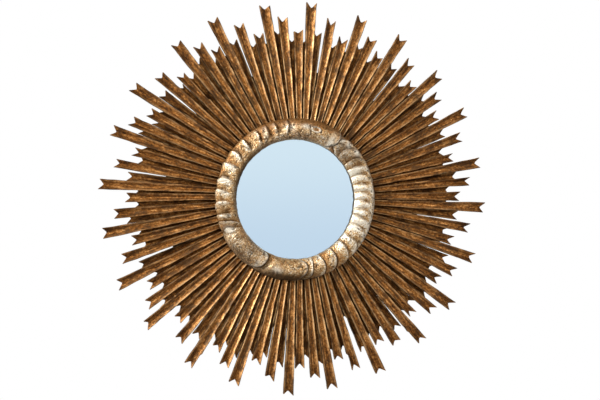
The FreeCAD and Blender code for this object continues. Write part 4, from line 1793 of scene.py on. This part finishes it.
    def glaze(self, lay: LeafLay) -> Array:
        """Finds how golden the leaf is: most at the roots and on the outer flank at the top, with painted
        light that pales the right flanks and the lower inner flank.

        Args:
            lay: the points of the wreath.

        Returns:
            The gold at each point, from 0 for silver.
        """
        plump = self.plump(lay)
        short = (1.0 - plump) * self.ripening.of(lay.share) + plump * lay.crest
        light = np.where(lay.long, self.long_light, short)
        gold = self.gold_usual + self.by_leaf(Draw.TONE, self.leaf_tones, lay) + self.knot.glaze(lay)
        gold = gold + self.gold_fall * (self.light_middle - light) * self.cut_depth(lay)
        return np.clip(gold + sum(stretch.over(lay) for stretch in self.golden), 0.0, self.most_gold)

    def dirt_and_shade(self, lay: LeafLay, cuts: Array) -> Array:
        """Lays grime and painted shade in the creases and cuts, along both edges, on flanks turned away
        from the lamps and under the ring's lower flank.

        Args:
            lay: the points of the wreath.
            cuts: the gouge cuts.

        Returns:
            The grime and painted shade at each point, 0 to 1.
        """
        plump = self.plump(lay)
        width = self.crease_width - self.crease_plump * plump - self.crease_narrowed.over(lay)
        crease = bell(lay.from_root, 0.0, width) * self.by_leaf(Draw.DIRT, self.leaf_dirts, lay)
        crease = crease * (self.crease_dirt_and_shade - self.crease_clean * plump)
        crease = crease * (1.0 - self.crease_wiped.over(lay)) * self.cut_depth(lay)
        shade = sum(stretch.over(lay) for stretch in self.painted_flank_shade)
        edge = self.edge_shade.of(lay.level + self.edge_shadow_widened.over(lay))
        edge = edge * (1.0 - self.edge_wiped.over(lay))
        local = [item.over(lay) for item in (*self.painted_shadows, *self.soiled_and_shadowed)]
        parts = (crease, shade, edge, self.gouge_dirt * cuts, *local)
        return np.clip(np.maximum.reduce(parts), 0.0, self.most_dirt_and_shade)

    def shine(self, lay: LeafLay) -> Array:
        """Rubs the silver bright and paints highlights: leaf tips, the knot's lid, a painted reflection on
        the lip at the upper left and single painted highlight spots.

        Args:
            lay: the points of the wreath.

        Returns:
            How bright each point is made, 0 to 1.
        """
        short = self.cut_depth(lay) * self.by_leaf(Draw.SHINE, self.leaf_shines, lay)
        short = short * sum(tip.over(lay) for tip in self.short_tips)
        tips = np.where(lay.long, self.long_tip.over(lay), short)
        local = [item.over(lay) for item in (self.lip_reflection, *self.rubbed)]
        return np.clip(np.maximum.reduce((tips, self.knot.shine(lay), *local)), 0.0, 1.0)

    def stipple(self, lay: LeafLay) -> Array:
        """Dull punched ground under the long upper leaf, the lobes beside it and the parting, and dark dust
        with painted shade on the lower outer flank.
        """
        return np.clip(sum(stretch.over(lay) for stretch in self.punched), 0.0, 1.0)


@dataclass
class ScrewSet:
    """Screws with a driver cross in the head, in place of the plain CAD ones of a node."""

    node: str
    finish: Finish = SCREW_STEEL
    cross: float = 0.62
    slot_half: float = 0.13
    slot_depth: float = 0.0011
    slot_fall: float = 0.5
    head_drop: float = 0.0002
    head_shares: Span = (0.04, 0.96)
    rings: int = 12
    sides: int = 48
    crease: float = 30.0
    seed: int = 3
    decimals: int = 5
    same_level: float = 2e-5
    axis_radius: float = 2e-4

    def build(self) -> bpy.types.Object:
        """Makes the screws of the node.

        Returns:
            One piece with all of them.
        """
        chance = np.random.default_rng(self.seed)
        work = Carving()
        for solid in solids_of(self.node):
            self.screw(solid, chance.uniform(0.0, math.pi), work)
        piece = work.piece("driven_" + self.node, self.finish, Body.MIRROR, self.crease)
        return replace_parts(piece, self.node)

    def outline(self, points: Array, middle: Array) -> list[Span]:
        """Reads the outline of a screw off its CAD solid.

        Args:
            points: vertices of the solid, which stands along Y with its head at the back.
            middle: the middle of the solid.

        Returns:
            The Y and radius of each corner, from the head on.
        """
        reach = np.hypot(points[:, 0] - middle[0], points[:, 2] - middle[2])
        corners = []
        for station in np.unique(np.round(points[:, 1], self.decimals))[::-1]:
            sizes = reach[(np.abs(points[:, 1] - station) < self.same_level) & (reach > self.axis_radius)]
            ends = {round(float(size), self.decimals) for size in (sizes.max(), sizes.min())}
            corners.extend((station, size) for size in sorted(ends, reverse=True))
        return corners

    def screw(self, points: Array, spin: float, work: Carving) -> None:
        """Builds one screw.

        Args:
            points: vertices of its CAD solid.
            spin: turn of the driver cross.
            work: where the screw goes.
        """
        middle = (points.min(axis=0) + points.max(axis=0)) / 2
        (head_y, head_radius), *shank = self.outline(points, middle)
        turns = np.linspace(0.0, 2.0 * math.pi, self.sides, endpoint=False)
        rows = []
        for share in np.linspace(*self.head_shares, self.rings):
            x, z = share * np.cos(turns + spin), share * np.sin(turns + spin)
            inside = (np.minimum(np.abs(x), np.abs(z)) < self.slot_half) & (share < self.cross)
            cut = np.where(inside, self.slot_depth * (1.0 - self.slot_fall * share / self.cross), 0.0)
            rows.append((share * head_radius, head_y - cut))
        rows.append((head_radius, np.full(self.sides, head_y - self.head_drop)))
        rows.extend((radius, np.full(self.sides, station)) for station, radius in shank)
        loops = [
            np.stack((
                middle[0] + radius * np.cos(turns), depth, middle[2] + radius * np.sin(turns),
            ), axis=-1)
            for radius, depth in rows
        ]
        faces = tube_faces(len(loops), self.sides)
        faces.append(tuple(range(self.sides))[::-1])
        faces.append(tuple(range((len(loops) - 1) * self.sides, len(loops) * self.sides)))
        work.add(np.concatenate(loops), faces, {})


@dataclass
class WireRing:
    """A D-ring bent from round wire, which swings in the loop of its strap."""

    body: Body
    stations: int = 120
    sides: int = 16
    bend: int = 4
    bar_steps: int = 120
    bow_steps: int = 200

    def build(self) -> bpy.types.Object:
        """Bends the ring along the bar and the bow of its CAD node.

        Returns:
            The ring.
        """
        places = node_points(self.body.value)
        low, high = places[:, 0].min(), places[:, 0].max()
        end = places[places[:, 0] < low + TOUCH][:, 1:]
        axis = (end.min(axis=0) + end.max(axis=0)) / 2
        away = places[:, 1:] - axis
        reach = np.hypot(away[:, 0], away[:, 1])
        down = away[reach > reach.max() - TOUCH].mean(axis=0)
        down = np.array((0.0, *(down / np.linalg.norm(down))))
        right = np.array((1.0, 0.0, 0.0))
        wire = (high - low) / 2 - (reach.max() - np.hypot(*(end - axis).T).max())
        line = self.line((high - low) / 2 - wire)
        centres = np.array(((low + high) / 2, *axis)) + line[:, :1] * right + line[:, 1:] * down
        ahead = np.roll(centres, -1, axis=0) - np.roll(centres, 1, axis=0)
        ahead /= np.linalg.norm(ahead, axis=1)[:, None]
        proud = np.cross(right, down)
        aside = np.cross(ahead, proud)
        turns = np.linspace(0.0, 2.0 * math.pi, self.sides, endpoint=False)[None, :, None]
        loops = centres[:, None] + wire * (np.cos(turns) * aside[:, None] + np.sin(turns) * proud)
        work = Carving()
        work.add(loops.reshape(-1, 3), hoop_faces(self.stations, self.sides), {})
        piece = work.piece("wire_" + self.body.value, ZINC, self.body)
        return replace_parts(piece, self.body.value)

    def line(self, bow: float) -> Array:
        """The wire's middle line: a bar, then a half-round bow, with bent corners.

        Args:
            bow: radius of the bow.

        Returns:
            Places across and down, evenly spaced along the closed line.
        """
        turns = np.linspace(0.0, math.pi, self.bow_steps)
        bar = np.linspace(-bow, bow, self.bar_steps, endpoint=False)
        bar = np.stack((bar, np.zeros_like(bar)), axis=-1)
        corners = np.concatenate((bar, bow * np.stack((np.cos(turns), np.sin(turns)), axis=-1)))
        steps = np.linalg.norm(np.diff(corners, axis=0), axis=1)
        gone = np.concatenate(((0.0,), np.cumsum(steps)))
        even = np.linspace(0.0, gone[-1], self.stations, endpoint=False)
        line = np.stack([np.interp(even, gone, corners[:, way]) for way in (0, 1)], axis=-1)
        shifts = range(-self.bend, self.bend + 1)
        return np.mean([np.roll(line, shift, axis=0) for shift in shifts], axis=0)


@dataclass
class KeptNodes:
    """CAD nodes whose shape is right as it is, each with its finish."""

    finishes: dict[str, Finish] = field(default_factory=lambda: {
        "mirror_glass": PLATE, "rear_panel": PANEL_PLY, "back_cover": COVER_PLY,
        "backing_board": HARDBOARD, "packing_disc": PACKING,
        "hanger_strap_left": ZINC, "hanger_strap_right": ZINC,
    })

    def build(self) -> list[bpy.types.Object]:
        """Gives each node its material.

        Returns:
            The nodes' objects.
        """
        items = []
        for node, finish in self.finishes.items():
            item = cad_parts[node]
            item.data.materials.clear()
            item.data.materials.append(finish.material())
            items.append(item)
        return items


@dataclass(frozen=True)
class Lamp:
    """A square soft lamp that points at the mirror: its place, its side and its power in watts."""

    name: str
    place: Triple
    size: float
    power: float

    def hang(self) -> None:
        """Hangs the lamp."""
        lamp = bpy.data.lights.new(self.name, "AREA")
        lamp.size = self.size
        lamp.energy = self.power
        item = bpy.data.objects.new(self.name, lamp)
        item.location = self.place
        item.rotation_euler = (-Vector(self.place)).to_track_quat("-Z", "Y").to_euler()
        bpy.context.scene.collection.objects.link(item)


@dataclass
class Studio:
    """A white room, soft lamps from the upper left with a fill in front and behind, and the camera."""

    lamps: tuple[Lamp, ...] = (
        Lamp("key", (-1.70, -3.40, 1.30), 1.2, 64.0), Lamp("side", (-3.70, -1.20, 1.30), 1.0, 265.0),
        Lamp("front_fill", (2.6, -3.2, 1.4), 1.8, 50.0), Lamp("rear_fill", (1.2, 3.0, 1.8), 2.6, 70.0),
    )
    azimuth: float = -11.0
    elevation: float = 0.6
    distance: float = 3.5
    lens: float = 81.6
    aim: Triple = (0.0212, 0.0, -0.0021)
    ambient: float = 0.045
    floor_drop: float = 1.9
    floor_span: float = 40.0
    floor_tone: Tone = (0.8, 0.8, 0.8)
    floor_rough: float = 0.8
    floor_white: Ease = Ease(2.0, 5.0, 0.72, 1.0)

    def build(self) -> None:
        """Sets up the stage."""
        self.set_world()
        self.lay_floor()
        for lamp in self.lamps:
            lamp.hang()
        self.stand_camera()
        bpy.context.scene.view_settings.view_transform = "Standard"

    def whiten(self, bench: Bench, white: str, share: Socket | None = None) -> None:
        """Shows white to the camera, in mirrors and through glass, and the shader to other rays.

        Args:
            bench: the node tree with its shader.
            white: type of the node that gives the white.
            share: how much of the white is laid over the shader, all of it where none is given.
        """
        path = bench.add("ShaderNodeLightPath").outputs
        seen = path["Is Camera Ray"]
        for name in ("Is Glossy Ray", "Is Transmission Ray"):
            seen = bench.joined(Join.LARGER, seen, path[name])
        if share is not None:
            seen = bench.joined(Join.PRODUCT, seen, share)
        light = bench.add(white)
        bench.feed(light.inputs["Color"], WHITE)
        mix = bench.add("ShaderNodeMixShader")
        for target, source in zip(mix.inputs, (seen, bench.shader.outputs[0], light.outputs[0])):
            bench.feed(target, source)
        bench.feed(bench.surface, mix.outputs[0])

    def set_world(self) -> None:
        """White behind the object, and an even soft light."""
        world = bpy.data.worlds.new("studio")
        bpy.context.scene.world = world
        bench = Bench(world)
        bench.feed(bench.shader.inputs["Color"], WHITE)
        bench.feed(bench.shader.inputs["Strength"], self.ambient)
        self.whiten(bench, "ShaderNodeBackground")

    def lay_floor(self) -> None:
        """A pale floor under the hanging mirror."""
        half, level = self.floor_span / 2, CAD_BOUNDS[0][2] - self.floor_drop
        mesh = bpy.data.meshes.new("floor")
        corners = [(x * half, y * half, level) for x, y in ((-1, -1), (1, -1), (1, 1), (-1, 1))]
        mesh.from_pydata(corners, [], [(0, 1, 2, 3)])
        material = bpy.data.materials.new("pale_floor")
        bench = Bench(material)
        bench.feed(bench.shader.inputs["Base Color"], self.floor_tone)
        bench.feed(bench.shader.inputs["Roughness"], self.floor_rough)
        share = bench.eased(bench.reach(bench.place(), (1.0, 1.0, 0.0)), self.floor_white)
        self.whiten(bench, "ShaderNodeEmission", share)
        mesh.materials.append(material)
        floor = bpy.data.objects.new("floor", mesh)
        bpy.context.scene.collection.objects.link(floor)
        floor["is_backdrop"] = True

    def stand_camera(self) -> None:
        """Stands the camera where the photograph was taken from."""
        turn, tilt = math.radians(self.azimuth), math.radians(self.elevation)
        way = Vector((math.sin(turn) * math.cos(tilt), -math.cos(turn) * math.cos(tilt), math.sin(tilt)))
        camera = bpy.data.cameras.new("camera")
        camera.lens = self.lens
        item = bpy.data.objects.new("camera", camera)
        item.location = Vector(self.aim) + way * self.distance
        item.rotation_euler = (-way).to_track_quat("-Z", "Y").to_euler()
        bpy.context.scene.collection.objects.link(item)
        bpy.context.scene.camera = item


def write_sizes() -> None:
    """Puts the CAD box and the finished box side by side, without keeping or writing them."""
    boxes = {"cad": CAD_BOUNDS, "visual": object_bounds()}
    {name: [list(corner) for corner in box] for name, box in boxes.items()}


def main() -> None:
    """Builds every sub-assembly in order."""
    logging.basicConfig(level=logging.INFO, format="%(message)s")
    pieces = RayFan().build()
    pieces.append(LeafWreath().build())
    pieces.extend(ScrewSet(node).build() for node in ("ring_screws", "cover_screws"))
    pieces.append(ScrewSet("hanger_screws", ZINC_SCREW).build())
    pieces.extend(WireRing(body).build() for body in (Body.LEFT_RING, Body.RIGHT_RING))
    pieces.extend(KeptNodes().build())
    for piece in pieces:
        log.info("%s: %d faces", piece.name, len(piece.data.polygons))
    Studio().build()
    write_sizes()


if __name__ == "__main__":
    main()
